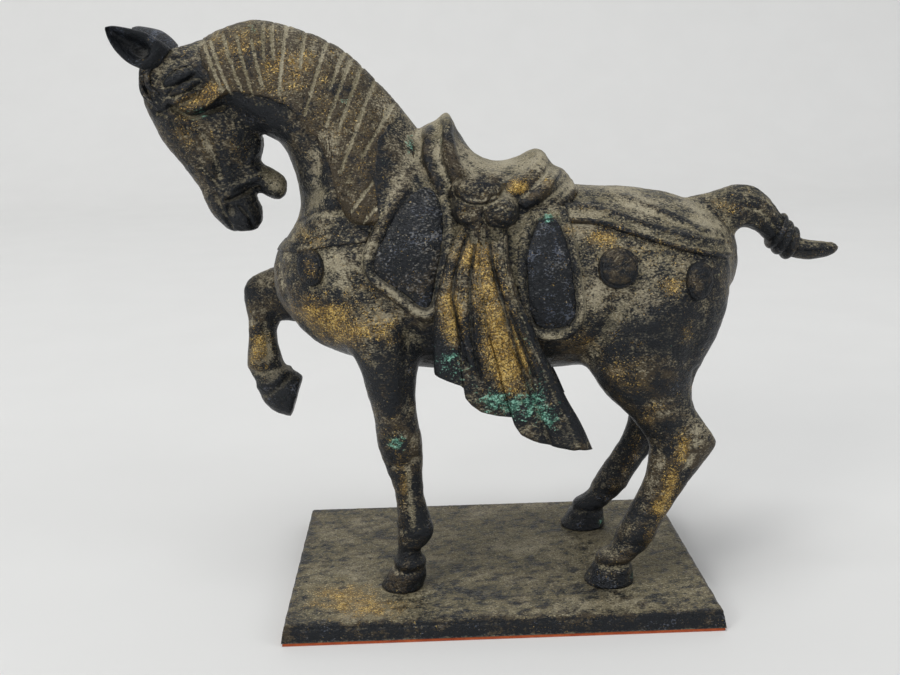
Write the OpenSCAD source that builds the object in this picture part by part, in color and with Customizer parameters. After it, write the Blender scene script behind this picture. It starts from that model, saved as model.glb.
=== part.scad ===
// Standing horse statue: hollow bronze castings joined at flat seams, dressed with
// separate cast saddlery, and screwed through its hooves to a felt-backed plinth.
// X runs along the horse, which faces -X. Z is up from the table. Origin: under the plinth's centre.

/* [Plinth] */
// Length of the plate's top face, along the horse
plinth_length = 126; // [110:1:170]
// Width of the plate's top face
plinth_width = 82.6; // [72:0.2:110]
// Thickness of the plate, without its felt
plate_thickness = 5.2; // [4:0.1:12]
// How far each side of the plate slopes out towards its bottom edge
plinth_flare = 0.9; // [0:0.1:3]
// Thickness of the felt glued under the plate
felt_thickness = 1; // [0.5:0.1:3]
// How far the felt stops short of the plate's bottom edge
felt_inset = 0.3; // [0:0.1:3]

/* [Horse] */
// Length of the horse from its ear tips to its tail tip
horse_length = 212; // [170:1:260]
// Height of the horse from its soles to the top of its crest
horse_height = 168; // [135:1:205]
// Width of the horse over its barrel
barrel_width = 52; // [42:1:64]
// Wall of the hollow castings
casting_wall = 3; // [2:0.1:4]

/* [Saddlery] */
// Thickness of the saddle cloth
cloth_thickness = 1.2; // [0.8:0.1:2]
// How far the padded flaps stand proud of the saddle cloth
flap_proud = 1.4; // [0.8:0.1:2.4]
// Thickness of the hanging drapes
drape_thickness = 4; // [2.5:0.1:5]
// How far the outer faces of the drapes stand outside the barrel
drape_standoff = 4.8; // [4:0.1:7]
// Thickness of the breast strap and the crupper straps
strap_thickness = 1; // [0.8:0.1:2]
// Thickness of the round and oval medallions
medallion_thickness = 2; // [1.2:0.1:3]
// Thickness of the mane plate over the neck
mane_thickness = 1.3; // [0.8:0.1:2]

/* [Fastenings] */
// Shank diameter of the screws that hold the hooves
screw_diameter = 3; // [2:0.1:4]
// Head diameter of the screws
screw_head = 6; // [4.5:0.1:8]
// Length of each screw, with its head
screw_length = 12; // [9:0.5:16]
// Diameter of the pins inside the seams
pin_diameter = 3; // [2:0.1:4]
// Length of the pins inside the seams
pin_length = 9; // [6:0.5:12]
// Play around screws and pins
fit_clearance = 0.1; // [0.05:0.05:0.3]

/* [Hidden] */

// The stations below are drawn at this size, standing on a top face at this height
drawn_length = 212;
drawn_height = 168;
drawn_barrel = 52;
drawn_floor = 6.2;
plinth_top = felt_thickness + plate_thickness;
size = [horse_length / drawn_length, barrel_width / drawn_barrel, horse_height / drawn_height];
far = 150;
ring_sides = 22;
leg_sides = 14;

bronze = [0.25, 0.22, 0.19];
dark_bronze = [0.13, 0.13, 0.14];
gilt = [0.62, 0.47, 0.2];
dusty = [0.45, 0.4, 0.33];
felt_red = [0.75, 0.2, 0.08];
steel = [0.6, 0.6, 0.62];

// ---- Places and curves ----------------------------------------------------------------------
// A drawn point at the horse's real size and standing height
function placed(p) = [p[0] * size[0], p[1] * size[1], plinth_top + (p[2] - drawn_floor) * size[2]];
function outline(points) = [for (p = points) [placed([p[0], 0, p[1]])[0], placed([p[0], 0, p[1]])[2]]];
function clamped(list, i) = list[max(0, min(len(list) - 1, i))];
function blend_of(a, b, c, d, t) =
    0.5 * (2 * b + (c - a) * t + (2 * a - 5 * b + 4 * c - d) * t * t + (3 * b - a - 3 * c + d) * t * t * t);
// Smooth row at a share u of the way through a list of rows
function row_at(rows, u) =
    let (s = u * (len(rows) - 1), i = min(floor(s), len(rows) - 2))
    blend_of(clamped(rows, i - 1), rows[i], rows[i + 1], clamped(rows, i + 2), s - i);

// A row of a loft is [front x, front z, back x, back z, y, half width]
function front_of(r) = [r[0], r[4], r[1]];
function back_of(r) = [r[2], r[4], r[3]];
function signed_power(v, e) = sign(v) * pow(abs(v), e);
// One closed ring: squareness below 1 fills the corners, narrowing thins the back edge
function ring(r, sides, grow, squareness, narrowing) =
    let (f = placed(front_of(r)), b = placed(back_of(r)),
         middle = (f + b) / 2, half = (b - f) / 2, reach = norm(half),
         along = half / max(reach, 0.01))
    [for (k = [0 : sides - 1])
        let (a = 360 * k / sides, c = signed_power(cos(a), squareness), s = signed_power(sin(a), squareness))
        middle + along * (max(reach + grow, 0.05) * s)
        + [0, max(r[5] * size[1] * (1 - narrowing * s) + grow, 0.05) * c, 0]];

function total(list) = len(list) == 0 ? 0 : list * [for (v = list) 1];
// Positive where the rings turn the other way round the loft's path
function handing(rows) = total([for (i = [0 : len(rows) - 2])
    let (a = (front_of(rows[i]) + back_of(rows[i])) / 2, b = (front_of(rows[i + 1]) + back_of(rows[i + 1])) / 2,
         across_ring = back_of(rows[i]) - front_of(rows[i]))
    (b - a) * [across_ring[2], 0, -across_ring[0]]]);

// A closed solid through the rows, with flat ends
module loft(rows, rings, sides = ring_sides, grow = 0, squareness = 1, narrowing = 0) {
    flip = handing(rows) > 0;
    circles = [for (j = [0 : rings - 1]) ring(row_at(rows, j / (rings - 1)), sides, grow, squareness, narrowing)];
    points = [for (c = circles) each c];
    last = (rings - 1) * sides;
    walls = [for (j = [0 : rings - 2]) for (k = [0 : sides - 1])
        let (a = j * sides + k, b = j * sides + (k + 1) % sides)
        each [[a, b, b + sides], [a, b + sides, a + sides]]];
    ends = [[for (k = [sides - 1 : -1 : 0]) k], [for (k = [0 : sides - 1]) last + k]];
    faces = concat(walls, ends);
    polyhedron(points, flip ? [for (f = faces) [for (i = [len(f) - 1 : -1 : 0]) f[i]]] : faces, convexity = 6);
}

// One watertight solid of whatever it holds
module fused() resize([0, 0, 0]) children();
// The space inside a side-view outline, across the whole horse
module across(points) translate([0, far, 0]) rotate([90, 0, 0]) linear_extrude(2 * far) polygon(outline(points));
// The half of space on one side of the middle: -1 is the horse's left, 1 its right
module side_of(side) translate([-far, side < 0 ? -far : 0, -far]) cube([2 * far, far, 4 * far]);
// A ball stretched to three radii, at a drawn place
module lobe(at, radii, sides = 10) {
    rows = [for (a = [-80 : 32 : 80]) [at[0] - radii[0] * cos(a), at[2] + radii[2] * sin(a),
        at[0] + radii[0] * cos(a), at[2] + radii[2] * sin(a), at[1], radii[1] * cos(a)]];
    loft(rows, 6, sides);
}

// ---- Stations of the castings ---------------------------------------------------------------
// Barrel, from the chest to the rump: [x, bottom, top, half width]
barrel_stations = [[-65, 98, 102, 1.5], [-64, 93, 107, 8], [-60.3, 87.5, 112, 14], [-54, 80.5, 121, 19],
    [-44, 75.5, 128, 22], [-32, 72.5, 131, 23.5], [-16, 70.5, 130, 24.5], [0, 70, 128, 25.5],
    [16, 70, 125.5, 26], [30, 71, 124.5, 26], [44, 75, 123.5, 25.5], [56, 81, 121, 23.5],
    [66, 88, 116, 18], [72, 94, 111, 10.5], [74.5, 101, 105, 2]];
barrel_rows = [for (s = barrel_stations) [s[0], s[1], s[0], s[2], 0, s[3]]];
// Neck, from inside the barrel to the poll
neck_rows = [[-59, 98, -8, 118, 0, 20], [-58, 110, -12, 131, 0, 19], [-56, 120, -20.5, 140, 0, 17],
    [-57, 130, -29, 151, 0, 14], [-60.5, 138.5, -41, 163.3, 0, 12], [-66, 142, -52.5, 169.3, 0, 10.5],
    [-72, 146, -66, 172.7, 0, 9.5], [-79, 151, -79, 169.3, 0, 9], [-86, 154, -89.5, 165.7, 0, 8],
    [-91, 157, -94, 163, 0, 5]];
// Skull and nose, from the poll to the lips
skull_rows = [[-97, 164.5, -82, 168, 0, 4], [-99, 158, -76, 158, 0, 9], [-99.3, 151.5, -69.5, 149, 0, 9.8],
    [-97.5, 146, -66.5, 141.5, 0, 9], [-94.5, 139.5, -66.5, 136, 0, 7.5], [-90, 133.5, -69, 130.5, 0, 6.3],
    [-86, 127.5, -70.5, 126, 0, 5.7], [-83.5, 121.5, -69, 120.5, 0, 6], [-81, 117.5, -69, 117, 0, 5.4],
    [-77.5, 114, -71, 114, 0, 3.2]];
jaw_rows = [[-78, 142, -66.5, 140, 0, 5], [-74, 136, -66, 135.5, 0, 4.6], [-70.5, 131.5, -62.5, 131, 0, 4.2],
    [-68, 127, -60, 128, 0, 4], [-66, 124, -60, 125, 0, 3.6], [-64, 122.5, -61, 123, 0, 2.2]];
ear_rows = [[-92, 160.5, -90, 167, -4.5, 2.6], [-97, 160.5, -93.5, 168.5, -7.5, 3.3], [-101, 162.5, -97, 170, -10, 3.2],
    [-103.5, 166, -101, 171, -12.2, 2.2], [-105, 170, -104.4, 171.2, -13.5, 0.4]];
ear_scoop_rows = [[-97, 161.5, -94, 166.5, -10, 1.8], [-101, 163.2, -97.5, 168.7, -12.6, 2.2],
    [-103.4, 166.2, -101.3, 170, -14.2, 1.5], [-104.8, 169.5, -104.3, 170.6, -14.6, 0.3]];
forelock_rows = [[-96.5, 164, -93, 166.5, 0, 3], [-100, 159.5, -96, 161, 0, 3.4], [-100.4, 154, -97.5, 154.5, 0, 2.8],
    [-99.4, 149, -97.8, 149.5, 0, 0.8]];
// Legs, from inside the barrel to the sole: [z, front x, back x, y, half width]
foreleg_stations = [[100, -48, -24, -13, 10], [88, -46, -20, -15, 9.5], [80, -42.5, -20.5, -16.5, 8.5],
    [75, -40, -22.5, -17.5, 7.5], [68, -38, -23.5, -18.2, 6.6], [60, -36, -23.3, -18.8, 5.6],
    [52, -35.5, -22, -19, 5.5], [45, -33.3, -22.2, -19, 4.6], [36, -30.7, -22, -19, 3.9],
    [29, -30.5, -20.4, -19, 4.2], [24.5, -30.6, -19.3, -19, 4.7], [21, -30.7, -21, -19, 4.4],
    [17.5, -31, -23.5, -19, 4.1], [14, -33.4, -22.2, -19, 5], [11, -34.6, -21.8, -19, 5.6],
    [6.2, -36, -23, -19, 6.4]];
hindleg_stations = [[114, 44, 62, -12, 9], [104, 38, 68, -14, 12], [93, 31, 68, -15.5, 12.5],
    [83, 26.5, 65.5, -16.5, 11.5], [75, 26, 61, -17.5, 9.8], [67, 30.5, 57.8, -18.5, 7.8],
    [60, 37.5, 58.8, -19, 6.3], [54, 42.5, 62.8, -19.2, 5.3], [49.5, 45.2, 65.6, -19.3, 4.9],
    [45, 45, 63, -19.4, 4.6], [38, 43.8, 58, -19.5, 4.2], [30, 40, 52.8, -19.6, 4.1],
    [23, 36.3, 48.8, -19.8, 4.7], [17.5, 34, 45.8, -20, 4.9], [13.8, 29.8, 41, -20, 4.9],
    [10, 28.2, 40.8, -20, 6], [6.2, 26, 41.4, -20, 7.2]];
raised_rows = [[-34, 104, -34, 84, 11, 8], [-44, 104, -44, 80, 13.5, 8.5], [-54, 102, -54, 80.5, 15, 7.6], [-62, 100.5, -61.5, 81.8, 15.7, 6.6],
    [-69, 99.5, -65, 82.3, 16, 5.9], [-76.5, 95.5, -66.3, 82.5, 16, 5.6], [-77.6, 89, -67.2, 81, 16, 5.1],
    [-76.9, 83, -67.9, 79, 16, 4.5], [-77.2, 76.5, -67.8, 75.5, 16, 4], [-78, 71.5, -67, 71, 16, 4.3],
    [-78.2, 67.5, -66, 67.8, 16, 4.6], [-76, 62.5, -63.8, 66, 16, 4.4], [-74.5, 57, -62.6, 65.4, 16, 5],
    [-71.5, 52.8, -61.7, 64.6, 16, 5.6], [-65, 50, -60.5, 63.5, 16, 5.9]];
tail_rows = [[58, 120, 64, 106, 0, 5], [68, 122.3, 71, 107, 0, 5.6], [75, 124, 75.5, 110.3, 0, 5.5],
    [80.5, 122.3, 78, 110, 0, 5.3], [85, 118.5, 80.5, 108.8, 0, 5], [88.5, 114.3, 84, 106, 0, 4.6],
    [92, 110, 88.5, 102, 0, 4.3], [95.5, 107.3, 94, 100.3, 0, 4.1], [100, 106.4, 100, 100.3, 0, 3.8],
    [104.5, 106, 104.5, 101.2, 0, 2.6], [107, 104.6, 107, 103, 0, 0.8]];
tie_rows = [[88.5, 114.3, 84, 106, 0, 4.6], [91, 111.3, 87, 103.3, 0, 4.4], [93.5, 108.7, 90.8, 101.2, 0, 4.2]];
saddle_stations = [[-22, 126, 140, 6], [-19, 121, 142.3, 12], [-15.5, 118, 143.5, 15], [-12, 117, 145, 17],
    [-8.5, 117, 139.5, 18], [-4, 117, 134.3, 19], [2, 117, 132, 19.5], [8, 117, 132.7, 19],
    [12.5, 117, 134.2, 18.5], [15.5, 117, 134.3, 17.5], [18.5, 117, 130.8, 16], [21.5, 118, 129.3, 13],
    [23, 122, 127.6, 8]];
saddle_rows = [for (s = saddle_stations) [s[0], s[1], s[0], s[2], 0, s[3]]];

// Side-view outlines of the saddlery and the mane
cloth_outline = [[-20, 150], [-22, 140], [-29.5, 124], [-35, 112], [-36.5, 105], [-31, 96.5], [-24, 91],
    [-17, 86.5], [-6, 84], [8, 84], [16, 83], [22, 84.5], [25, 92], [24.5, 102], [22, 114], [21, 124], [21, 150]];
front_flap_outline = [[-23.5, 127.5], [-29, 117.5], [-33.5, 107], [-34, 104.5], [-32, 102], [-27, 98.5],
    [-18, 94], [-16, 103], [-14.5, 114], [-16.5, 124]];
rear_flap_outline = [[15, 117.5], [11, 114], [9, 108], [8.5, 101], [9, 93], [11, 88.5], [15, 86.5], [19, 87.5],
    [21.5, 91], [22.5, 97], [22, 104], [20.5, 110], [18.5, 115]];
drape_outline = [[-9, 117], [-12.5, 111], [-15, 104.5], [-17, 97], [-18, 89], [-18.2, 77], [-17.5, 75.2],
    [-10.5, 72.2], [-9.6, 71.3], [-9.1, 68.3], [-7.6, 66.4], [-5, 64.4], [0, 62.9], [3.7, 62.4], [4.7, 59.4],
    [6.2, 57.2], [9.6, 55.2], [14.5, 53.5], [21.5, 52], [26, 51.1], [26.8, 51.8], [23.5, 59.5], [19.5, 66.8],
    [15.2, 76], [11.8, 83], [8.8, 91], [5.8, 98], [4, 104.5], [3.3, 110], [3.5, 117]];
mane_outline = [[-95, 185], [-95, 160], [-91, 152], [-86, 149], [-80, 148.5], [-70, 151.5], [-62, 151], [-55, 146],
    [-50, 139], [-46, 130], [-44, 119], [-38, 116.5], [-31, 125], [-23.5, 140], [-21, 150], [-21, 185]];
breast_strap_outline = [[-37, 118.5], [-50, 117.5], [-58, 114.5], [-70, 110], [-70, 106.5], [-58, 111],
    [-50, 114], [-37, 114.5]];
crupper_outline = [[20, 121], [30, 120], [40, 116.5], [50, 113], [60, 110.5], [78, 108], [78, 103.5],
    [60, 106], [50, 108.5], [40, 111.5], [30, 114.5], [20, 115.5]];
head_side = [[-90, 169], [-66, 141.8], [-59.3, 134], [-58.5, 120], [-66, 105], [-130, 105], [-130, 195], [-90, 195]];
neck_side = [[-90, 96], [-58, 116], [-18, 138], [20, 159], [20, 220], [-150, 220], [-150, 96]];
// Seams of the legs: the standing legs part level, the raised one upright
foreleg_seam = 77;
hindleg_seam = 76;
raised_seam = -58;

// Centre x, z and half axes of the medallions
breast_medallion = [-52, 105, 3.8, 5.2];
croup_medallion = [34, 103.5, 5.7, 5.7];
rump_medallion = [56.5, 99.5, 4, 5.4];

// Right hind leg stands a little further forward at the hoof and back at the hock
right_lean = 0.1;
right_lean_from = 22;
right_lean_reach = 30;
right_spread = 1.07;

function leg_rows(stations) = [for (s = stations) [s[1], s[0], s[2], s[0], s[3], s[4]]];
function leaned(stations) = [for (s = stations)
    let (shift = right_lean * min(s[0] - right_lean_from, right_lean_reach))
    [s[0], s[1] + shift, s[2] + shift, -s[3] * right_spread, s[4]]];

// Soles on the plinth
soles = [[-29.5, -19, drawn_floor], [33.7, -20, drawn_floor], [32.1, 21.4, drawn_floor]];
// Middle of each seam pin and the turn of its axis from upright
level = [0, 90, 0];
pins = [[[-31, -17.4, foreleg_seam], [0, 0, 0]], [[43, -17.8, hindleg_seam], [0, 0, 0]],
        [[45, 18.4, hindleg_seam], [0, 0, 0]], [[raised_seam, 15.6, 91], level],
        [[-78, 0, 155.4], [0, 49, 0]], [[70.5, 0, 113], level]];

// ---- Solids that the nodes are cut from -----------------------------------------------------
module barrel(grow = 0) loft(barrel_rows, 24, 24, grow, 0.92, 0.1);
module neck_form(grow = 0) loft(neck_rows, 19, ring_sides, grow, 1, 0.3);
module foreleg_form(grow = 0) loft(leg_rows(foreleg_stations), 24, leg_sides, grow, 0.95);
module hindleg_form(grow = 0) loft(leg_rows(hindleg_stations), 26, leg_sides, grow, 0.95);
module right_hindleg_form(grow = 0) loft(leg_rows(leaned(hindleg_stations)), 26, leg_sides, grow, 0.95);
module raised_form(grow = 0) loft(raised_rows, 26, leg_sides, grow, 0.95);
module head_form() {
    loft(skull_rows, 20, 18, 0, 0.95);
    loft(jaw_rows, 9, 12);
}
module below(z) translate([-far, -far, placed([0, 0, z])[2] - 2 * far]) cube([2 * far, 2 * far, 2 * far]);
module ahead_of(x) translate([placed([x, 0, 0])[0] - 2 * far, -far, -far]) cube([2 * far, 2 * far, 4 * far]);

// Everything of the trunk's outside, grown outwards for what lies on it
module trunk(grow = 0) {
    difference() {
        union() {
            barrel(grow);
            neck_form(grow);
        }
        across(neck_side);
    }
    difference() {
        foreleg_form(grow);
        below(foreleg_seam);
    }
    difference() {
        raised_form(grow);
        ahead_of(raised_seam);
    }
    difference() {
        union() {
            hindleg_form(grow);
            right_hindleg_form(grow);
        }
        below(hindleg_seam);
    }
}
module pin(p, play = 0) translate(placed(p[0])) rotate(p[1])
    cylinder(h = pin_length + 2 * play, r = pin_diameter / 2 + play, center = true, $fn = 24);
module pin_holes() for (p = pins) pin(p, fit_clearance);
module at_soles() for (s = soles) translate([placed(s)[0], placed(s)[1], felt_thickness]) children();
module hoof_holes() at_soles()
    cylinder(h = screw_length + fit_clearance, r = screw_diameter / 2 + fit_clearance, $fn = 24);

// ---- Base -----------------------------------------------------------------------------------
module felt_pad() color(felt_red) {
    length = plinth_length + 2 * (plinth_flare - felt_inset);
    width = plinth_width + 2 * (plinth_flare - felt_inset);
    translate([-length / 2, -width / 2, 0]) cube([length, width, felt_thickness]);
}

module plate() {
    x = plinth_length / 2;
    y = plinth_width / 2;
    low = [[-1, -1], [1, -1], [1, 1], [-1, 1]];
    points = concat(
        [for (c = low) [c[0] * (x + plinth_flare), c[1] * (y + plinth_flare), felt_thickness]],
        [for (c = low) [c[0] * x, c[1] * y, plinth_top]]);
    polyhedron(points, [[0, 1, 2, 3], [7, 6, 5, 4], [4, 5, 1, 0], [5, 6, 2, 1], [6, 7, 3, 2], [7, 4, 0, 3]]);
}

// A countersunk screw's outline of revolution: head, cone and shank
head_depth = (screw_head - screw_diameter) / 2;
module screw_form(play = 0) rotate_extrude($fn = 48) polygon([[0, -play], [screw_head / 2 + play, -play],
    [screw_head / 2 + play, play], [screw_diameter / 2 + play, head_depth + play],
    [screw_diameter / 2 + play, screw_length], [0, screw_length]]);

module plinth() color(bronze) difference() {
    plate();
    at_soles() screw_form(fit_clearance);
}

slot_width = 0.8;
slot_depth = 0.7;
module hoof_screws() color(steel) at_soles() difference() {
    screw_form();
    translate([-screw_head, -slot_width / 2, -slot_depth]) cube([2 * screw_head, slot_width, 2 * slot_depth]);
}

// ---- Castings -------------------------------------------------------------------------------
module trunk_hollow() {
    loft(barrel_rows, 14, 14, -casting_wall, 0.92, 0.1);
    neck_hollow();
}
// The neck's hollow stops short of the head's seam
module neck_hollow() loft([for (i = [0 : 6]) neck_rows[i]], 8, 12, -casting_wall, 1, 0.3);

module torso() color(bronze) fused() difference() {
    trunk();
    trunk_hollow();
    pin_holes();
}

module neck() color(bronze) fused() difference() {
    intersection() {
        union() {
            neck_form();
            head_form();
            barrel();
        }
        across(neck_side);
    }
    across(head_side);
    neck_hollow();
    pin_holes();
}

module head() color(bronze) fused() difference() {
    intersection() {
        union() {
            neck_form();
            head_form();
        }
        across(head_side);
    }
    pin_holes();
}

module ear(side) color(dark_bronze) fused() scale([1, -side, 1]) difference() {
    loft(ear_rows, 9, 12);
    loft(ear_scoop_rows, 7, 8);
    head_form();
    neck_form(mane_thickness);
}
module ear_left() ear(-1);
module ear_right() ear(1);

module forelock() color(dark_bronze) fused() difference() {
    loft(forelock_rows, 9, 10);
    head_form();
    neck_form(mane_thickness);
    ear_left();
    ear_right();
}

module mane_form() intersection() {
    union() {
        neck_form(mane_thickness);
        barrel(mane_thickness);
    }
    across(mane_outline);
}
module mane() color(dark_bronze) fused() difference() {
    mane_form();
    neck_form();
    head_form();
    barrel();
}

module foreleg_left() color(bronze) fused() difference() {
    intersection() {
        foreleg_form();
        below(foreleg_seam);
    }
    barrel();
    pin_holes();
    hoof_holes();
}

module foreleg_right() color(bronze) fused() difference() {
    intersection() {
        raised_form();
        ahead_of(raised_seam);
    }
    barrel();
    pin_holes();
}

module hindleg_left() color(bronze) fused() difference() {
    intersection() {
        hindleg_form();
        below(hindleg_seam);
    }
    barrel();
    pin_holes();
    hoof_holes();
}

module hindleg_right() color(bronze) fused() difference() {
    intersection() {
        right_hindleg_form();
        below(hindleg_seam);
    }
    barrel();
    pin_holes();
    hoof_holes();
}

module tail_form() loft(tail_rows, 21, 12);
module tail() color(dark_bronze) fused() difference() {
    tail_form();
    barrel();
    pin_holes();
}

tie_thickness = 0.9;
module tail_tie() color(bronze) fused() difference() {
    loft(tie_rows, 5, 12, tie_thickness);
    tail_form();
}

module seam_pins() color(steel) for (p = pins) pin(p);

// ---- Saddlery -------------------------------------------------------------------------------
// A skin on one side of the trunk, inside a side-view outline, between two heights over it
module skin(points, from, to, side = 0) difference() {
    intersection() {
        trunk(to);
        across(points);
        if (side != 0) side_of(side);
    }
    trunk(from);
}

module saddle_cloth() color(dusty) fused() skin(cloth_outline, 0, cloth_thickness);

module saddle_form() loft(saddle_rows, 22, 18, 0, 0.8, 0.15);
module saddle() color(dusty) fused() difference() {
    saddle_form();
    trunk(cloth_thickness);
    neck_form(mane_thickness);
}

module front_flap(side) color(dark_bronze) fused() difference() {
    skin(front_flap_outline, cloth_thickness, cloth_thickness + flap_proud, side);
    saddle_form();
}
module front_flap_left() front_flap(-1);
module front_flap_right() front_flap(1);

module rear_flap(side) color(dark_bronze) fused() difference() {
    skin(rear_flap_outline, cloth_thickness, cloth_thickness + flap_proud, side);
    saddle_form();
}
module rear_flap_left() rear_flap(-1);
module rear_flap_right() rear_flap(1);

// Cross-section of a drape from the front: it follows the barrel, then hangs straight
drape_profile = [[120, 20.5], [114, 25.2], [108, 28.2], [100, 30.2], [92, 30.8], [45, 30.8]];
module drape_sheet() {
    half = drawn_barrel / 2 + drape_standoff;
    outer = [for (p = drape_profile) [p[1] / 30.8 * half, p[0]]];
    points = concat(outer, [for (i = [len(outer) - 1 : -1 : 0]) outer[i] - [drape_thickness, 0]]);
    placed_points = [for (p = points) [placed([0, p[0], p[1]])[1], placed([0, p[0], p[1]])[2]]];
    translate([-far, 0, 0]) rotate([90, 0, 90]) linear_extrude(2 * far) polygon(placed_points);
}
module drape(side) color(gilt) fused() difference() {
    scale([1, side, 1]) intersection() {
        drape_sheet();
        across(drape_outline);
    }
    trunk(cloth_thickness);
    saddle_form();
    front_flap(side);
    rear_flap(side);
}
module drape_left() drape(-1);
module drape_right() drape(1);

module knot_form() {
    lobe([-4.5, 21.5, 127], [6.6, 5, 3.8]);
    lobe([-8, 23, 121.8], [3.8, 4, 4]);
    lobe([0.5, 24, 120.8], [5.4, 5, 5]);
    lobe([-3, 25.5, 116], [4, 3.6, 3]);
}
module knot(side) color(dusty) fused() difference() {
    scale([1, side, 1]) knot_form();
    trunk(cloth_thickness);
    saddle_form();
    front_flap(side);
    drape(side);
}
module knot_left() knot(-1);
module knot_right() knot(1);

module breast_strap() color(bronze) fused() difference() {
    skin(breast_strap_outline, 0, strap_thickness);
    across(cloth_outline);
    mane_form();
    neck_form();
}

module crupper_strap(side) color(bronze) fused() difference() {
    skin(crupper_outline, 0, strap_thickness, side);
    across(cloth_outline);
    tail_form();
}
module crupper_strap_left() crupper_strap(-1);
module crupper_strap_right() crupper_strap(1);

// A thin upright-edged disc, oval in side view, lying on the trunk on both sides
module medallion(m) intersection() {
    trunk(medallion_thickness);
    translate(placed([m[0], 0, m[1]])) rotate([90, 0, 0])
        scale([m[2] * size[0], m[3] * size[2], 1]) cylinder(h = 2 * far, r = 1, center = true, $fn = 24);
}
module breast_medallions() color(dark_bronze) fused() difference() {
    medallion(breast_medallion);
    trunk();
}
module croup_medallions() color(dark_bronze) fused() difference() {
    medallion(croup_medallion);
    trunk();
}
module rump_medallions() color(dark_bronze) fused() difference() {
    medallion(rump_medallion);
    trunk();
}

felt_pad();
plinth();
hoof_screws();
torso();
neck();
head();
ear_left();
ear_right();
forelock();
mane();
foreleg_left();
foreleg_right();
hindleg_left();
hindleg_right();
tail();
tail_tie();
seam_pins();
saddle_cloth();
saddle();
front_flap_left();
front_flap_right();
rear_flap_left();
rear_flap_right();
drape_left();
drape_right();
knot_left();
knot_right();
breast_strap();
crupper_strap_left();
crupper_strap_right();
breast_medallions();
rump_medallions();
croup_medallions();
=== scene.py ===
"""Bronze horse statue: sculpted castings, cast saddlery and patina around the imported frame."""

import math

import bpy
import bmesh
import numpy as np
from mathutils import Matrix, Vector


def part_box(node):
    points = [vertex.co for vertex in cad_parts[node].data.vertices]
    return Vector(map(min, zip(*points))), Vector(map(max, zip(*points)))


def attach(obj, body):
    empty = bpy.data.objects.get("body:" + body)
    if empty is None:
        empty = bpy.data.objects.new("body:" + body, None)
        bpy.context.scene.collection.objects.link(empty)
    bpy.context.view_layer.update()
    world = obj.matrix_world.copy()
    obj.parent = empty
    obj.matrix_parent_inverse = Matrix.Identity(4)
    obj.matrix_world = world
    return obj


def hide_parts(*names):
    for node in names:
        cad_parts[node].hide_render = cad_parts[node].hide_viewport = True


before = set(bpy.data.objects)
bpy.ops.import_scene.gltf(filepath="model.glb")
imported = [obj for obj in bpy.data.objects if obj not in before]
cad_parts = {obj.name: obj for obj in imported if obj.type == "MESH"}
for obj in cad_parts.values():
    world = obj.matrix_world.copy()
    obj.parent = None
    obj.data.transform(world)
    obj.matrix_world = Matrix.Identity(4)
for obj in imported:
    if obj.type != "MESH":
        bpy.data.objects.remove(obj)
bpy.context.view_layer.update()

MM = 0.001
LEFT, RIGHT = -1.0, 1.0
CAST_VOXEL, SADDLE_VOXEL = 0.585, 0.5
# The stations below stand on a floor at this height, and all pieces are lifted onto the plinth's top
DRAWN_FLOOR = 6.2
PLINTH_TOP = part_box("plinth")[1][2] / MM
LIFTED = np.array([0, 0, PLINTH_TOP - DRAWN_FLOOR])


# ---- Arrays and meshes ------------------------------------------------------------------------
def smooth_rows(rows, count):
    """Catmull-Rom curve through the rows: at each share of the way, a cubic of the four nearest rows."""
    rows = np.asarray(rows, float)
    place = np.linspace(0, len(rows) - 1, count)
    i = np.minimum(place.astype(int), len(rows) - 2)
    t = (place - i)[:, None]
    a, b, c, d = (rows[np.clip(i + k, 0, len(rows) - 1)] for k in (-1, 0, 1, 2))
    return 0.5 * (2 * b + (c - a) * t + (2 * a - 5 * b + 4 * c - d) * t**2 + (3 * b - a - 3 * c + d) * t**3)


def signed_power(value, power):
    """The size raised to the power, with the value's own sign."""
    return np.sign(value) * np.abs(value) ** power


def ramp(value, low, high):
    """0 below low, 1 above high, and the smooth cubic 3t^2 - 2t^3 between."""
    t = np.clip((value - low) / (high - low), 0, 1)
    return t * t * (3 - 2 * t)


def bell(distance, width):
    """1 on the spot, falling as exp(-(d/width)^2)."""
    return np.exp(-((distance / width) ** 2))


def grid_quads(rows, columns, closed=False):
    """The quads of a rows x columns grid of points, joined round its columns where closed."""
    i, j = np.meshgrid(np.arange(rows - 1), np.arange(columns if closed else columns - 1), indexing="ij")
    k = (j + 1) % columns
    quads = np.stack([i * columns + j, i * columns + k, (i + 1) * columns + k, (i + 1) * columns + j], -1)
    return quads.reshape(-1, 4)


def new_object(name, points, faces):
    """A mesh object from points in millimetres and a list of face arrays, each of one face size."""
    mesh = bpy.data.meshes.new(name)
    faces = [np.asarray(f, np.int32) for f in faces if len(f)]
    corners = np.concatenate([f.ravel() for f in faces])
    sizes = np.concatenate([np.full(len(f), f.shape[1]) for f in faces])
    mesh.vertices.add(len(points))
    mesh.vertices.foreach_set("co", ((np.asarray(points) + LIFTED) * MM).astype(np.float32).ravel())
    mesh.loops.add(len(corners))
    mesh.loops.foreach_set("vertex_index", corners)
    mesh.polygons.add(len(sizes))
    mesh.polygons.foreach_set("loop_start", np.concatenate([[0], np.cumsum(sizes)[:-1]]).astype(np.int32))
    mesh.polygons.foreach_set("use_smooth", np.ones(len(sizes), bool))
    mesh.update(calc_edges=True)
    mesh.validate()
    piece = bpy.data.objects.new(name, mesh)
    bpy.context.scene.collection.objects.link(piece)
    return piece


def points_of(piece):
    """The piece's vertices in millimetres, over the drawn floor."""
    flat = np.empty(len(piece.data.vertices) * 3, np.float32)
    piece.data.vertices.foreach_get("co", flat)
    return flat.reshape(-1, 3).astype(float) / MM - LIFTED


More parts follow.
